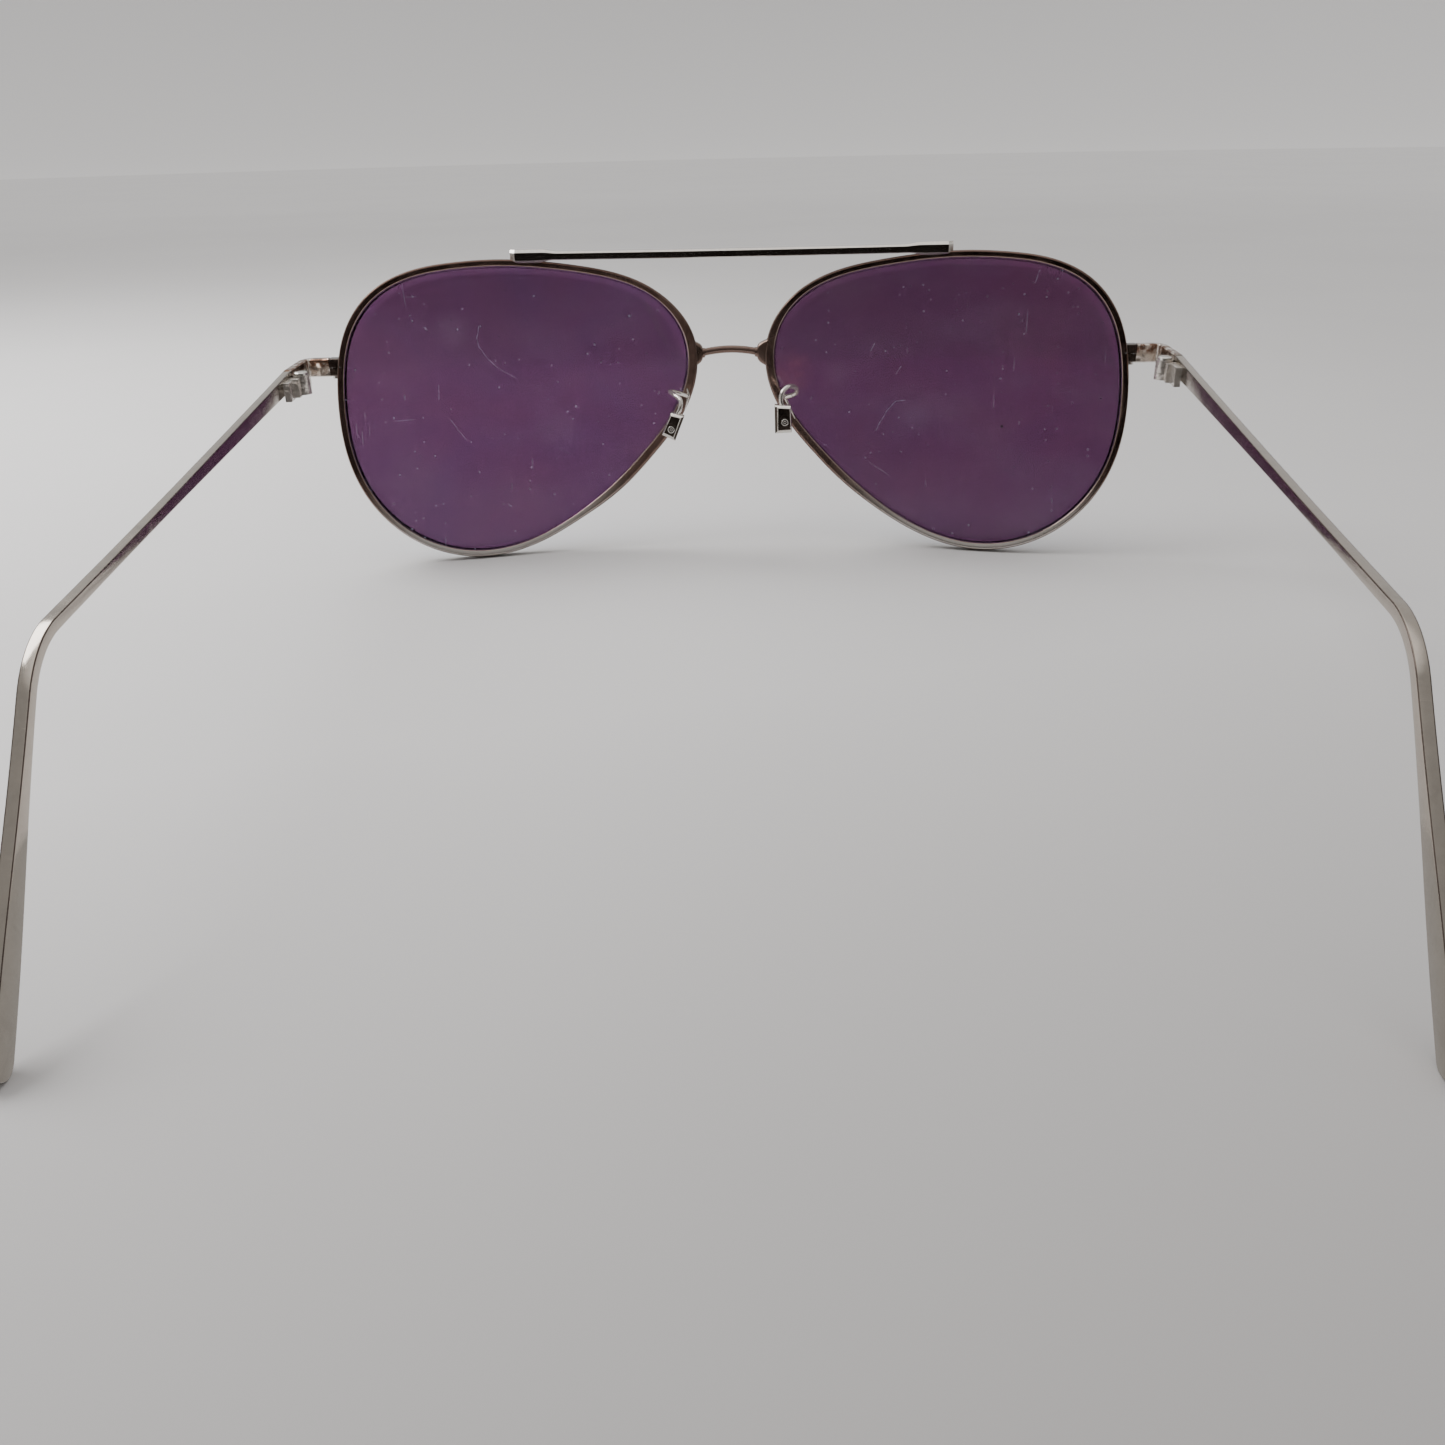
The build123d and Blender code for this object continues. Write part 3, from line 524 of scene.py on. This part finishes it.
def step(x, a, b):
    t = min(max((x - a) / (b - a), 0.0), 1.0)
    return t * t * (3 - 2 * t)


# hand-finished rims: a little extra width on the nose side, (outer, inner) for each lens
EXTRA = {1: (0.52, 0.02), -1: (0.05, 0.34)}


def rim_rings(side):
    profile = rounded(EDGE_G, RIM_W, rho0, rho1, (0.42, 0.10, 0.13, 0.48), 6)
    # order: (outer, front) (inner, front) (inner, back) (outer, back)
    Qd, Nd, _ = closed_spline(OUTLINE, COUNT * 4)
    rings = []
    ks = [k_slit * 4 + 1] + list(range(k_slit * 4 + 2, (k_slit + COUNT) * 4 - 1, 6)) + [
        (k_slit + COUNT) * 4 - 1]
    for k in ks:
        q, n = Qd[k % (COUNT * 4)], Nd[k % (COUNT * 4)]
        w = step(-q[0], 5.0, 17.0) * step(q[1], -21.5, -15.0) * (1 - step(q[1], 9.0, 18.0))
        t_ = np.clip((profile[:, :1] - EDGE_G) / (RIM_W - EDGE_G), 0, 1) ** 0.8
        wide = profile[:, :1] + w * (t_ * EXTRA[side][0] - (1 - t_) * EXTRA[side][1])
        uv = q[None] + wide * n[None]
        n_ = -R_BACK + np.sqrt(profile[:, 1] ** 2 - (uv ** 2).sum(-1))
        rings.append(CENTRE + uv[:, :1] * E_U + uv[:, 1:] * E_V + n_[:, None] * E_N)
    return rings


def lens_data():
    m = 360
    q, n, _ = closed_spline(OUTLINE, m)
    steps = []
    centre = np.array([0.5, 0.0])
    for f in np.linspace(0.03, 1.0, 26):
        steps.append((centre + f * (q + 0.04 * n - centre), R_BACK, 0))
    steps.append((q + 0.12 * n, R_BACK + 0.03, 0))
    steps.append((q + 0.24 * n, R_BACK + 0.17, 0))
    steps.append((q + 0.36 * n, R_BACK + 0.36, 0))
    steps.append((q + 0.36 * n, R_BACK + LENS_T - 0.36, 0))
    steps.append((q + 0.24 * n, R_BACK + LENS_T - 0.17, 1))
    steps.append((q + 0.12 * n, R_BACK + LENS_T - 0.03, 1))
    for f in np.linspace(1.0, 0.03, 26):
        steps.append((centre + f * (q + 0.04 * n - centre), R_BACK + LENS_T, 1))
    verts, faces, mats = [], [], []
    for uv, rho, _ in steps:
        verts.append(lens_point(uv, rho))
    for i in range(len(steps) - 1):
        for k in range(m):
            l = (k + 1) % m
            faces.append((i * m + k, i * m + l, (i + 1) * m + l, (i + 1) * m + k))
            mats.append(steps[i][2] if steps[i][2] == steps[i + 1][2] else 0)
    v = np.vstack(verts)
    # centre fans
    c0, c1 = len(v), len(v) + 1
    v = np.vstack([v, lens_point(centre[None], R_BACK), lens_point(centre[None], R_BACK + LENS_T)])
    last = (len(steps) - 1) * m
    for k in range(m):
        l = (k + 1) % m
        faces.append((c0, l, k))
        mats.append(0)
        faces.append((c1, last + k, last + l))
        mats.append(1)
    return v, faces, mats


lv, lf, lm = lens_data()
for side, tag in ((1, "left"), (-1, "right")):
    rr = rim_rings(side)
    v, f = loft_data(to_m(rr, side))
    m_ = len(rr[0])
    # the outer wall faces take the painted shade metal
    shaded_walls = {m_ - 1, m_ - 2, m_ - 3, m_ - 4, 0, 1, 2}
    # the inner back lip faces take the painted highlight metal
    highlit_lip = {15, 16, 17, 18}
    which = [1 if k % m_ in shaded_walls else 2 if k % m_ in highlit_lip else 0 for k in range(m_ * (len(rr) - 1))] + [0, 0]
    piece("eyewire_" + tag, v, f, [M_RIM[side], M_RIM_WALL_SHADE, M_RIM_LIP_HIGHLIGHT], "front", ["rim_" + tag], face_mats=which)
    piece("tinted_lens_" + tag, to_m(lv, side), lf, [M_LENS[side], M_FLASH], "front",
          ["lens_" + tag], face_mats=lm, angle=60)

# ------------------------------------------------------------------- temples
TEMPLE_T, CONV = 1.20, math.radians(6.23)
SLOPE, DROP = math.radians(2.66), math.radians(48.2)
OUTER_X, BUTT_Y, BUTT_GAP, TEMPLE_Z = 70.48, 15.0, 0.06, 32.20
STRAIGHT, DROP_LEN, BEND_R = 98.2, 36.55, 11.0
HEIGHTS = [(0, 2.70), (10, 2.38), (26, 2.02), (40, 1.72), (53, 1.46),
           (66, 1.26), (80, 1.16), (98, 1.20), (105, 1.30), (111, 1.62),
           (116, 2.10), (121, 2.66), (126, 3.08), (131, 3.20), (140, 3.20)]
turn = DROP - SLOPE
tan_len = BEND_R * math.tan(turn / 2)
s_arc0 = STRAIGHT - tan_len
s_arc1 = s_arc0 + BEND_R * turn
s_end = s_arc1 + (DROP_LEN - tan_len)
corner_a, corner_z = STRAIGHT * math.cos(SLOPE), TEMPLE_Z - STRAIGHT * math.sin(SLOPE)


def centre_line(s):
    if s <= s_arc0:
        return s * math.cos(SLOPE), TEMPLE_Z - s * math.sin(SLOPE), SLOPE
    if s <= s_arc1:
        ang = SLOPE + (s - s_arc0) / BEND_R
        a0, z0 = s_arc0 * math.cos(SLOPE), TEMPLE_Z - s_arc0 * math.sin(SLOPE)
        cx, cz = a0 - BEND_R * math.sin(SLOPE), z0 - BEND_R * math.cos(SLOPE)
        return cx + BEND_R * math.sin(ang), cz + BEND_R * math.cos(ang), ang
    a1 = corner_a + tan_len * math.cos(DROP)
    z1 = corner_z - tan_len * math.sin(DROP)
    e = s - s_arc1
    return a1 + e * math.cos(DROP), z1 - e * math.sin(DROP), DROP


hs = np.array(HEIGHTS)
grid = np.linspace(0, 140, 1401)
hh = np.interp(grid, hs[:, 0], hs[:, 1])
kern = np.exp(-0.5 * (np.arange(-60, 61) / 22.0) ** 2)
kern /= kern.sum()
hh = np.convolve(np.pad(hh, 60, mode="edge"), kern, mode="valid")
BACK = np.array([-math.sin(CONV), math.cos(CONV), 0.0])
INNER = np.array([-math.cos(CONV), -math.sin(CONV), 0.0])
BUTT = np.array([OUTER_X, BUTT_Y + BUTT_GAP, 0.0]) + INNER * TEMPLE_T / 2
ZUP = np.array([0.0, 0.0, 1.0])


def temple_rings():
    tip_r = 1.60
    ss = list(np.linspace(0.16, s_arc0, 90)) + list(np.linspace(s_arc0, s_arc1, 40)[1:]) + list(
        np.linspace(s_arc1, s_end - tip_r, 60)[1:])
    rows = []
    for s in [0.0] + ss:
        h = float(np.interp(s, grid, hh))
        inset = 0.16 if s == 0.0 else 0.0
        rows.append((s, h - 2 * inset, TEMPLE_T - 2 * inset))
    for a in np.linspace(0, 90, 16)[1:]:
        a = math.radians(a)
        h = 2 * tip_r * math.cos(a)
        rows.append((s_end - tip_r + tip_r * math.sin(a), max(h, 0.16), TEMPLE_T * (1 if a < 1.3 else 0.82)))
    rings = []
    for s, h, t in rows:
        a, zz, ang = centre_line(s)
        if s <= 0.001:
            ang = 0.0
        o = BUTT + BACK * a + ZUP * zz
        direction = BACK * math.cos(ang) - ZUP * math.sin(ang)
        upv = np.cross(direction, INNER)
        if upv[2] < 0:
            upv = -upv
        r = min(0.15, h * 0.3, t * 0.3)
        prof = rounded(-t / 2, t / 2, -h / 2, h / 2, r, 4)
        rings.append([o + INNER * x + upv * y for x, y in prof])
    rings = np.array(rings)
    rings[0, :, 1] = np.maximum(rings[0, :, 1], BUTT_Y + BUTT_GAP)
    return rings


tr = temple_rings()
for side, tag in ((1, "left"), (-1, "right")):
    v, f = loft_data(to_m(tr, side))
    m_ = tr.shape[1]
    # faces on the upper corners take the painted shade metal
    shaded_edges = {1, 2, 5, 6, 7, 8}
    which = [1 if k % m_ in shaded_edges else 0 for k in range(m_ * (len(tr) - 1))] + [0, 0]
    piece("temple_arm_" + tag, v, f, [M_TEMPLE, M_TEMPLE_EDGE_SHADE], "temple_" + tag, ["temple_" + tag],
          angle=35, face_mats=which)

# -------------------------------------------------------------------- bridge
def catmull(pts, per=16):
    p = np.asarray(pts, float)
    p = np.vstack([2 * p[0] - p[1], p, 2 * p[-1] - p[-2]])
    out = []
    for i in range(1, len(p) - 2):
        for t in np.linspace(0, 1, per, endpoint=False):
            a, b, c, d = p[i - 1], p[i], p[i + 1], p[i + 2]
            out.append(0.5 * ((2 * b) + (c - a) * t + (2 * a - 5 * b + 4 * c - d) * t * t
                              + (3 * b - a - 3 * c + d) * t ** 3))
    out.append(p[-2])
    return np.array(out)


BY = -0.55
bp = catmull([(-4.75, BY, 32.62), (-3.5, BY - 0.1, 32.86), (-1.8, BY - 0.22, 33.05), (0, BY - 0.28, 33.12),
              (1.8, BY - 0.22, 33.05), (3.5, BY - 0.1, 32.86), (4.75, BY, 32.62)])
v, f = loft_data(to_m(sweep(bp, ring(0.60, 28))))
piece("bridge_wire", v, f, M_BRIDGE, "front", ["bridge"])

# lugs: a collar, then a flare that runs into the rim
lug_rings = []
for x, hy_, hz, z_c, r in ((4.16, 0.60, 0.60, 32.66, 0.56), (4.22, 0.76, 0.76, 32.66, 0.68), (4.44, 0.78, 0.79, 32.63, 0.70),
                           (4.56, 0.76, 0.80, 32.62, 0.68), (4.72, 0.82, 1.22, 32.60, 0.66),
                           (5.0, 0.86, 1.52, 32.58, 0.64), (5.35, 0.88, 1.74, 32.56, 0.60), (5.75, 0.88, 1.95, 32.54, 0.52),
                           (6.15, 0.90, 2.12, 32.52, 0.46), (6.55, 0.90, 2.45, 32.50, 0.42), (7.0, 0.88, 2.60, 32.48, 0.40)):
    prof = rounded(-hy_, hy_, -hz, hz, min(r, hy_ * 0.97, hz * 0.97), 6)
    lug_rings.append([(x, BY + 0.03 + a, z_c + b) for a, b in prof])
for side, tag in ((1, "left"), (-1, "right")):
    v, f = loft_data(to_m(np.array(lug_rings), side))
    piece("bridge_foot_" + tag, v, f, M_BRIDGE, "front", ["bridge_lug_" + tag], angle=50)

# ------------------------------------------------------------------ brow bar
BH, PH = 36.45, 29.55
bar_y = (-2.05, -0.34)


def ease(t):
    t = min(max(t, 0.0), 1.0)
    return t * t * (3 - 2 * t)


bar_rings = []
xs = [-BH, -BH + 0.02, -BH + 0.85, -BH + 0.95] + list(np.linspace(-BH + 1.4, BH - 1.4, 160)) + [
    BH - 0.95, BH - 0.85, BH - 0.02, BH]
for x in xs:
    ax = abs(x)
    w_top = ease((PH + 1.7 - ax) / 2.9)        # 0 on the pad, 1 on the bar
    w_bot = ease((PH + 2.4 - ax) / 2.7)
    sag = 0.08 * (1 - (ax / PH) ** 2) if ax < PH else 0
    z1_ = 49.36 + (49.02 - sag - 49.36) * w_top
    z0_ = 47.34 + (47.74 - sag - 47.34) * w_bot
    e = min(max((BH - ax) / 0.85, 0), 1)       # end bevel
    ya, yb = bar_y[0] + 0.25 * (1 - e), bar_y[1] - 0.62 * (1 - e)
    ct = 0.44 + (0.27 - 0.44) * w_top
    cb = 0.36 + (0.10 - 0.36) * w_bot
    prof = [(ya, z0_ + cb), (ya + cb, z0_), (yb - cb, z0_), (yb, z0_ + cb),
            (yb, z1_ - ct), (yb - ct, z1_), (ya + ct, z1_), (ya, z1_ - ct)]
    bar_rings.append([(x * 0.992 - 0.38, a, b) for a, b in prof])
v, f = loft_data(to_m(np.array(bar_rings)))
bar = piece("brow_strip", v, f, M_BAR, "front", ["brow_bar"], angle=30)
bv = bar.modifiers.new("edge", "BEVEL")
bv.width, bv.segments, bv.limit_method, bv.angle_limit = 0.00003, 2, "ANGLE", math.radians(25)

# ------------------------------------------------------- pad arms and boxes
def torus(centre, big, small, n=28, m=10):
    rings = []
    for i in range(n):
        a = 2 * math.pi * i / n
        o = np.array([math.cos(a), 0.0, math.sin(a)])
        rings.append([centre + o * (big + small * math.cos(b)) + np.array([0, small * math.sin(b), 0])
                      for b in np.linspace(0, 2 * math.pi, m, endpoint=False)])
    return loft_data(to_m(np.array(rings)), closed=True, caps=False)


ARMS = {
    "left": [(7.15, 0.2, 25.35), (7.41, 1.0, 25.82), (8.47, 3.0, 26.65), (9.93, 5.0, 27.39), (9.30, 7.2, 27.32),
             (8.18, 8.6, 26.70), (8.19, 9.25, 25.53), (8.80, 9.30, 24.30)],
    "right": [(-9.05, 0.2, 25.0), (-9.34, 1.0, 25.37), (-10.54, 3.0, 26.08), (-11.13, 5.0, 27.04), (-10.82, 6.6, 28.0),
              (-9.71, 8.0, 28.45), (-8.70, 9.0, 27.86), (-8.40, 9.3, 26.56), (-8.62, 9.3, 25.30)]}
FEET = {
    "left": [((7.35, 1.05, 27.1), 0.12), ((7.18, 1.10, 26.0), 0.30), ((7.42, 1.20, 24.9), 0.24), ((7.85, 1.30, 23.6), 0.10)],
    "right": [((-9.02, 1.05, 26.2), 0.12), ((-9.30, 1.10, 25.3), 0.30), ((-9.95, 1.20, 23.9), 0.24), ((-11.0, 1.35, 21.8), 0.12)]}
# outline of each box seen from behind: top nose side, top far side, bottom far side, bottom nose side
BOXES = {
    "left": [(7.52, 24.22), (9.66, 24.86), (11.34, 21.30), (9.16, 20.28)],
    "right": [(-7.32, 25.80), (-9.98, 25.66), (-10.14, 21.34), (-7.40, 21.22)]}
RINGS = {"left": (9.72, 22.20), "right": (-8.99, 23.10)}
for side, tag in ((1, "left"), (-1, "right")):
    path = catmull(ARMS[tag], 14)
    wires = sweep(path, ring(0.375, 20), up=(1, 0, 0))
    v1, f1 = loft_data(to_m(wires))
    fp = catmull([q for q, _ in FEET[tag]], 10)
    fr = np.interp(np.linspace(0, 1, len(fp)), np.linspace(0, 1, len(FEET[tag])), [r for _, r in FEET[tag]])
    v2, f2 = loft_data(to_m(sweep(fp, ring(1.0, 16) * np.array([0.8, 1.0]), radii=fr, up=(0, 1, 0))))
    v = np.vstack([v1, v2])
    f = list(f1) + [tuple(i + len(v1) for i in q) for q in f2]
    piece("pad_wire_" + tag, v, f, M_PAD, "front", ["pad_arm_" + tag])
    quad = np.array(BOXES[tag])
    mid_ = quad.mean(0)
    down = (quad[2] + quad[3] - quad[0] - quad[1]) / 2
    across = (quad[1] + quad[2] - quad[0] - quad[3]) / 2
    down /= np.linalg.norm(down)
    across /= np.linalg.norm(across)

    def inset(nose, far, top, bottom):
        return np.array([quad[0] + across * nose + down * top, quad[1] - across * far + down * top,
                         quad[2] - across * far - down * bottom, quad[3] + across * nose - down * bottom])

    rings = []
    for y, q in ((8.30, inset(0.20, 0.20, 0.20, 0.20)), (8.46, inset(0, 0, 0, 0)), (9.72, inset(0, 0, 0, 0)),
                 (10.12, inset(0.40, 0.10, 0.30, 0.46)), (10.20, inset(0.48, 0.16, 0.37, 0.52)),
                 (10.12, inset(0.52, 0.19, 0.41, 0.56))):
        rings.append([(a, y, b) for a, b in q])
    v, f = loft_data(to_m(np.array(rings)))
    # the back face takes the painted dark reflection
    fmats = [0] * (len(f) - 1) + [1]
    fmats[-2] = 0
    # painted shade of the open slot: the nose-side wall takes the dark block metal
    for i in range(0, 3):
        fmats[i * 4 + 3] = 2
    box = piece("pad_holder_" + tag, v, f, [M_PAD, M_PAD_DARK_REFLECTION, M_BLOCK], "front", ["pad_box_" + tag],
                face_mats=fmats, angle=20)
    bw = box.modifiers.new("edge", "BEVEL")
    bw.width, bw.segments, bw.limit_method, bw.angle_limit = 0.00005, 2, "ANGLE", math.radians(20)
    cx_, cz_ = RINGS[tag]
    v1, f1 = torus(np.array([cx_, 10.17, cz_]), 0.50, 0.075)
    v2, f2 = torus(np.array([cx_, 10.15, cz_]), 0.20, 0.05)
    pin_rings = []
    for y, r in ((7.86, 0.40), (7.94, 0.52), (8.28, 0.52), (8.30, 0.30), (10.0, 0.30), (10.05, 0.24)):
        pin_rings.append([(cx_ + a, y, cz_ + b) for a, b in ring(r, 24)])
    v3, f3 = loft_data(to_m(np.array(pin_rings)))
    v = np.vstack([v1, v2, v3])
    f = list(f1) + [tuple(i + len(v1) for i in q) for q in f2] + [tuple(i + len(v1) + len(v2) for i in q) for q in f3]
    piece("pad_pin_" + tag, v, f, M_SCREW, "front", ["pad_screw_" + tag])

# ----------------------------------------------------- kept CAD nodes' looks
KEEP = {
    "end_piece_left": M_FRAME, "end_piece_right": M_FRAME,
    "hinge_front_leaf_left": M_HINGE, "hinge_front_leaf_right": M_HINGE,
    "hinge_temple_leaf_left": M_HINGE, "hinge_temple_leaf_right": M_HINGE,
    "hinge_screw_left": M_SCREW, "hinge_screw_right": M_SCREW,
    "rim_lock_upper_left": M_BLOCK, "rim_lock_upper_right": M_BLOCK,
    "rim_lock_lower_left": M_BLOCK, "rim_lock_lower_right": M_BLOCK,
    "rim_lock_screw_left": M_SCREW, "rim_lock_screw_right": M_SCREW,
}
for n, mat in KEEP.items():
    ob = NODES[n]
    ob.data.materials.clear()
    ob.data.materials.append(mat)
    ob.data.polygons.foreach_set("use_smooth", [True] * len(ob.data.polygons))
    ob.data.set_sharp_from_angle(angle=math.radians(30))

# ------------------------------------------------------------- floor, camera
def stage_mesh(name, verts, faces, mat):
    me = bpy.data.meshes.new(name)
    me.from_pydata([tuple(q) for q in verts], [], faces)
    me.materials.append(mat)
    me.polygons.foreach_set("use_smooth", [True] * len(me.polygons))
    ob = bpy.data.objects.new(name, me)
    col.objects.link(ob)
    return ob


fm = Mat("floor_paper_painted_light")
fm.set(Roughness=0.62, **{"Specular IOR Level": 0.25})
fcl = fm.noise(9, 3, 0.5)
paper = fm.mix(fm.ramp(fcl, [(0.3, 0.0), (0.7, 1.0)]), (0.745, 0.727, 0.722), (0.77, 0.754, 0.749))
fxyz = fm.t.nodes.new("ShaderNodeSeparateXYZ")
fm.link(fm.coord, fxyz.inputs[0])
# painted shade: the floor colour darkens towards +Y and -X
painted_falloff = fm.math("ADD", fm.math("MULTIPLY", fxyz.outputs["Y"], 7.0), fm.math("MULTIPLY", fxyz.outputs["X"], -2.0), clamp=True)
fm.into("Base Color", fm.mix(painted_falloff, paper, (0.385, 0.370, 0.364)))
fm.into("Normal", fm.bump(fm.noise(1200, 4, 0.6), 0.00003, 0.25))
# painted light: the floor glows brighter with distance from the centre, beyond 0.4 m
painted_glow_reach = fm.t.nodes.new("ShaderNodeVectorMath")
painted_glow_reach.operation = "LENGTH"
fm.link(fm.coord, painted_glow_reach.inputs[0])
fm.set(**{"Emission Color": (1.0, 0.985, 0.975, 1)})
fm.into("Emission Strength", fm.math("MULTIPLY", fm.math("MULTIPLY", fm.math("SUBTRACT", painted_glow_reach.outputs["Value"], 0.40), 1.1,
                                                         clamp=True), 0.13))
# a wide round floor, and a far pale wall that only the camera and the lenses see
SEG = 96


def disc_rows(prof):
    verts = []
    for r, z in prof:
        for k in range(SEG):
            a = 2 * math.pi * k / SEG
            verts.append((r * math.cos(a), r * math.sin(a), z))
    faces = []
    for i in range(len(prof) - 1):
        for k in range(SEG):
            l = (k + 1) % SEG
            faces.append((i * SEG + k, (i + 1) * SEG + k, (i + 1) * SEG + l, i * SEG + l))
    return verts, faces


ZF = -0.00002
NEAR = ((-0.45, 0.45), (-0.50, 0.030))      # the part of the floor that metal reflects
gx, gy = (-3.2, NEAR[0][0], NEAR[0][1], 3.2), (-3.2, NEAR[1][0], NEAR[1][1], 3.2)
gv = [(x, y, ZF) for y in gy for x in gx]
cells = [(j * 4 + i, j * 4 + i + 1, (j + 1) * 4 + i + 1, (j + 1) * 4 + i) for j in range(3) for i in range(3)]
floor = stage_mesh("studio_floor", [gv[k] for k in cells[4]], [(0, 1, 2, 3)], fm.m)
far = stage_mesh("studio_floor_far", gv, [c for k, c in enumerate(cells) if k != 4], fm.m)
far.visible_glossy = False
wp = [(3.0, -0.00002)]
for a in range(3, 91, 3):
    a = math.radians(a)
    wp.append((3.0 + 1.2 * math.sin(a), 1.2 * (1 - math.cos(a))))
wp.append((4.2, 3.0))
wv, wf = disc_rows(wp)
wm = Mat("wall_paper")
wm.set(Roughness=0.7, **{"Base Color": (0.74, 0.725, 0.72, 1), "Emission Color": (1.0, 0.985, 0.975, 1), "Emission Strength": 0.225})
wall = stage_mesh("studio_wall", wv, wf, wm.m)
for flag in ("visible_glossy", "visible_diffuse", "visible_shadow"):
    setattr(wall, flag, False)

yaw, pitch, roll = math.radians(1.70), math.radians(26.60), math.radians(-1.32)
d = np.array([math.sin(yaw) * math.cos(pitch), -math.cos(yaw) * math.cos(pitch), -math.sin(pitch)])
r_ = np.cross(d, [0, 0, 1])
r_ /= np.linalg.norm(r_)
u_ = np.cross(r_, d)
r2 = math.cos(roll) * r_ + math.sin(roll) * u_
u2 = -math.sin(roll) * r_ + math.cos(roll) * u_
cam_data = bpy.data.cameras.new("camera")
cam = bpy.data.objects.new("camera", cam_data)
col.objects.link(cam)
cam.matrix_world = Matrix((
    (r2[0], u2[0], -d[0], -0.00345),
    (r2[1], u2[1], -d[1], 0.20649 + Y0 / 1000),
    (r2[2], u2[2], -d[2], 0.06654),
    (0, 0, 0, 1)))
cam_data.sensor_width = 36.0
cam_data.lens = 1187.8 / 1445 * 36
cam_data.clip_start, cam_data.clip_end = 0.002, 20
scene.camera = cam

# -------------------------------------------------------------------- lights
def area(name, loc, target, size, power, color=(1, 1, 1), size_y=None):
    ld = bpy.data.lights.new(name, "AREA")
    ld.energy, ld.color = power, color
    ld.shape = "RECTANGLE"
    ld.size, ld.size_y = size, size_y or size
    ob = bpy.data.objects.new(name, ld)
    col.objects.link(ob)
    ob.location = loc
    ob.rotation_mode = "QUATERNION"
    ob.rotation_quaternion = (Vector(target) - Vector(loc)).to_track_quat("-Z", "Y")
    return ob


area("top_panel", (0.05, -0.35, 0.60), (0.05, -0.33, 0), 0.5, 0.25)
area("left_panel", (0.29, -0.13, 0.30), (0.25, -0.11, 0.0), 0.28, 1.80)
area("right_panel", (-0.75, -0.10, 0.40), (0.0, -0.02, 0.0), 0.5, 0.25)

world = bpy.data.worlds.new("studio")
scene.world = world
world.use_nodes = True
wt = world.node_tree
wt.nodes.clear()
wo = wt.nodes.new("ShaderNodeOutputWorld")
bg = wt.nodes.new("ShaderNodeBackground")
wt.links.new(bg.outputs[0], wo.inputs[0])
tc = wt.nodes.new("ShaderNodeTexCoord")
sep = wt.nodes.new("ShaderNodeSeparateXYZ")
wt.links.new(tc.outputs["Generated"], sep.inputs[0])


def wmath(op, a, b=0.0, clamp=False):
    n = wt.nodes.new("ShaderNodeMath")
    n.operation = op
    n.use_clamp = clamp
    for sock, val in ((n.inputs[0], a), (n.inputs[1], b)):
        if isinstance(val, (int, float)):
            sock.default_value = val
        else:
            wt.links.new(val, sock)
    return n.outputs[0]


# dark opening of the light tent towards +Y, low down; pale elsewhere, brightest behind and above
ahead = wmath("MULTIPLY", wmath("SUBTRACT", sep.outputs["Y"], 0.35), 1 / 0.15, clamp=True)
low = wmath("MULTIPLY", wmath("SUBTRACT", 0.52, sep.outputs["Z"]), 1 / 0.26, clamp=True)
gap = wmath("MULTIPLY", wmath("SUBTRACT", 0.76, sep.outputs["X"]), 1 / 0.16, clamp=True)
dark = wmath("MULTIPLY", wmath("MULTIPLY", ahead, low), gap)
lift = wmath("MULTIPLY", wmath("ADD", wmath("MULTIPLY", sep.outputs["Y"], -0.7), wmath("MULTIPLY", sep.outputs["Z"], 0.5)), 1.0,
             clamp=True)
crown = wmath("MULTIPLY", wmath("SUBTRACT", sep.outputs["Z"], 0.84), 1 / 0.12, clamp=True)
bright = wmath("ADD", wmath("ADD", 0.47, wmath("MULTIPLY", lift, 0.36)), wmath("MULTIPLY", crown, 0.80))
lp = wt.nodes.new("ShaderNodeLightPath")
dark = wmath("MULTIPLY", dark, wmath("SUBTRACT", 1.0, lp.outputs["Is Camera Ray"]))
mixn = wt.nodes.new("ShaderNodeMix")
mixn.data_type = "RGBA"
wt.links.new(dark, mixn.inputs[0])
mixn.inputs[6].default_value = (0.90, 0.89, 0.88, 1)
mixn.inputs[7].default_value = (0.020, 0.016, 0.014, 1)
wt.links.new(mixn.outputs[2], bg.inputs["Color"])
wt.links.new(bright, bg.inputs["Strength"])
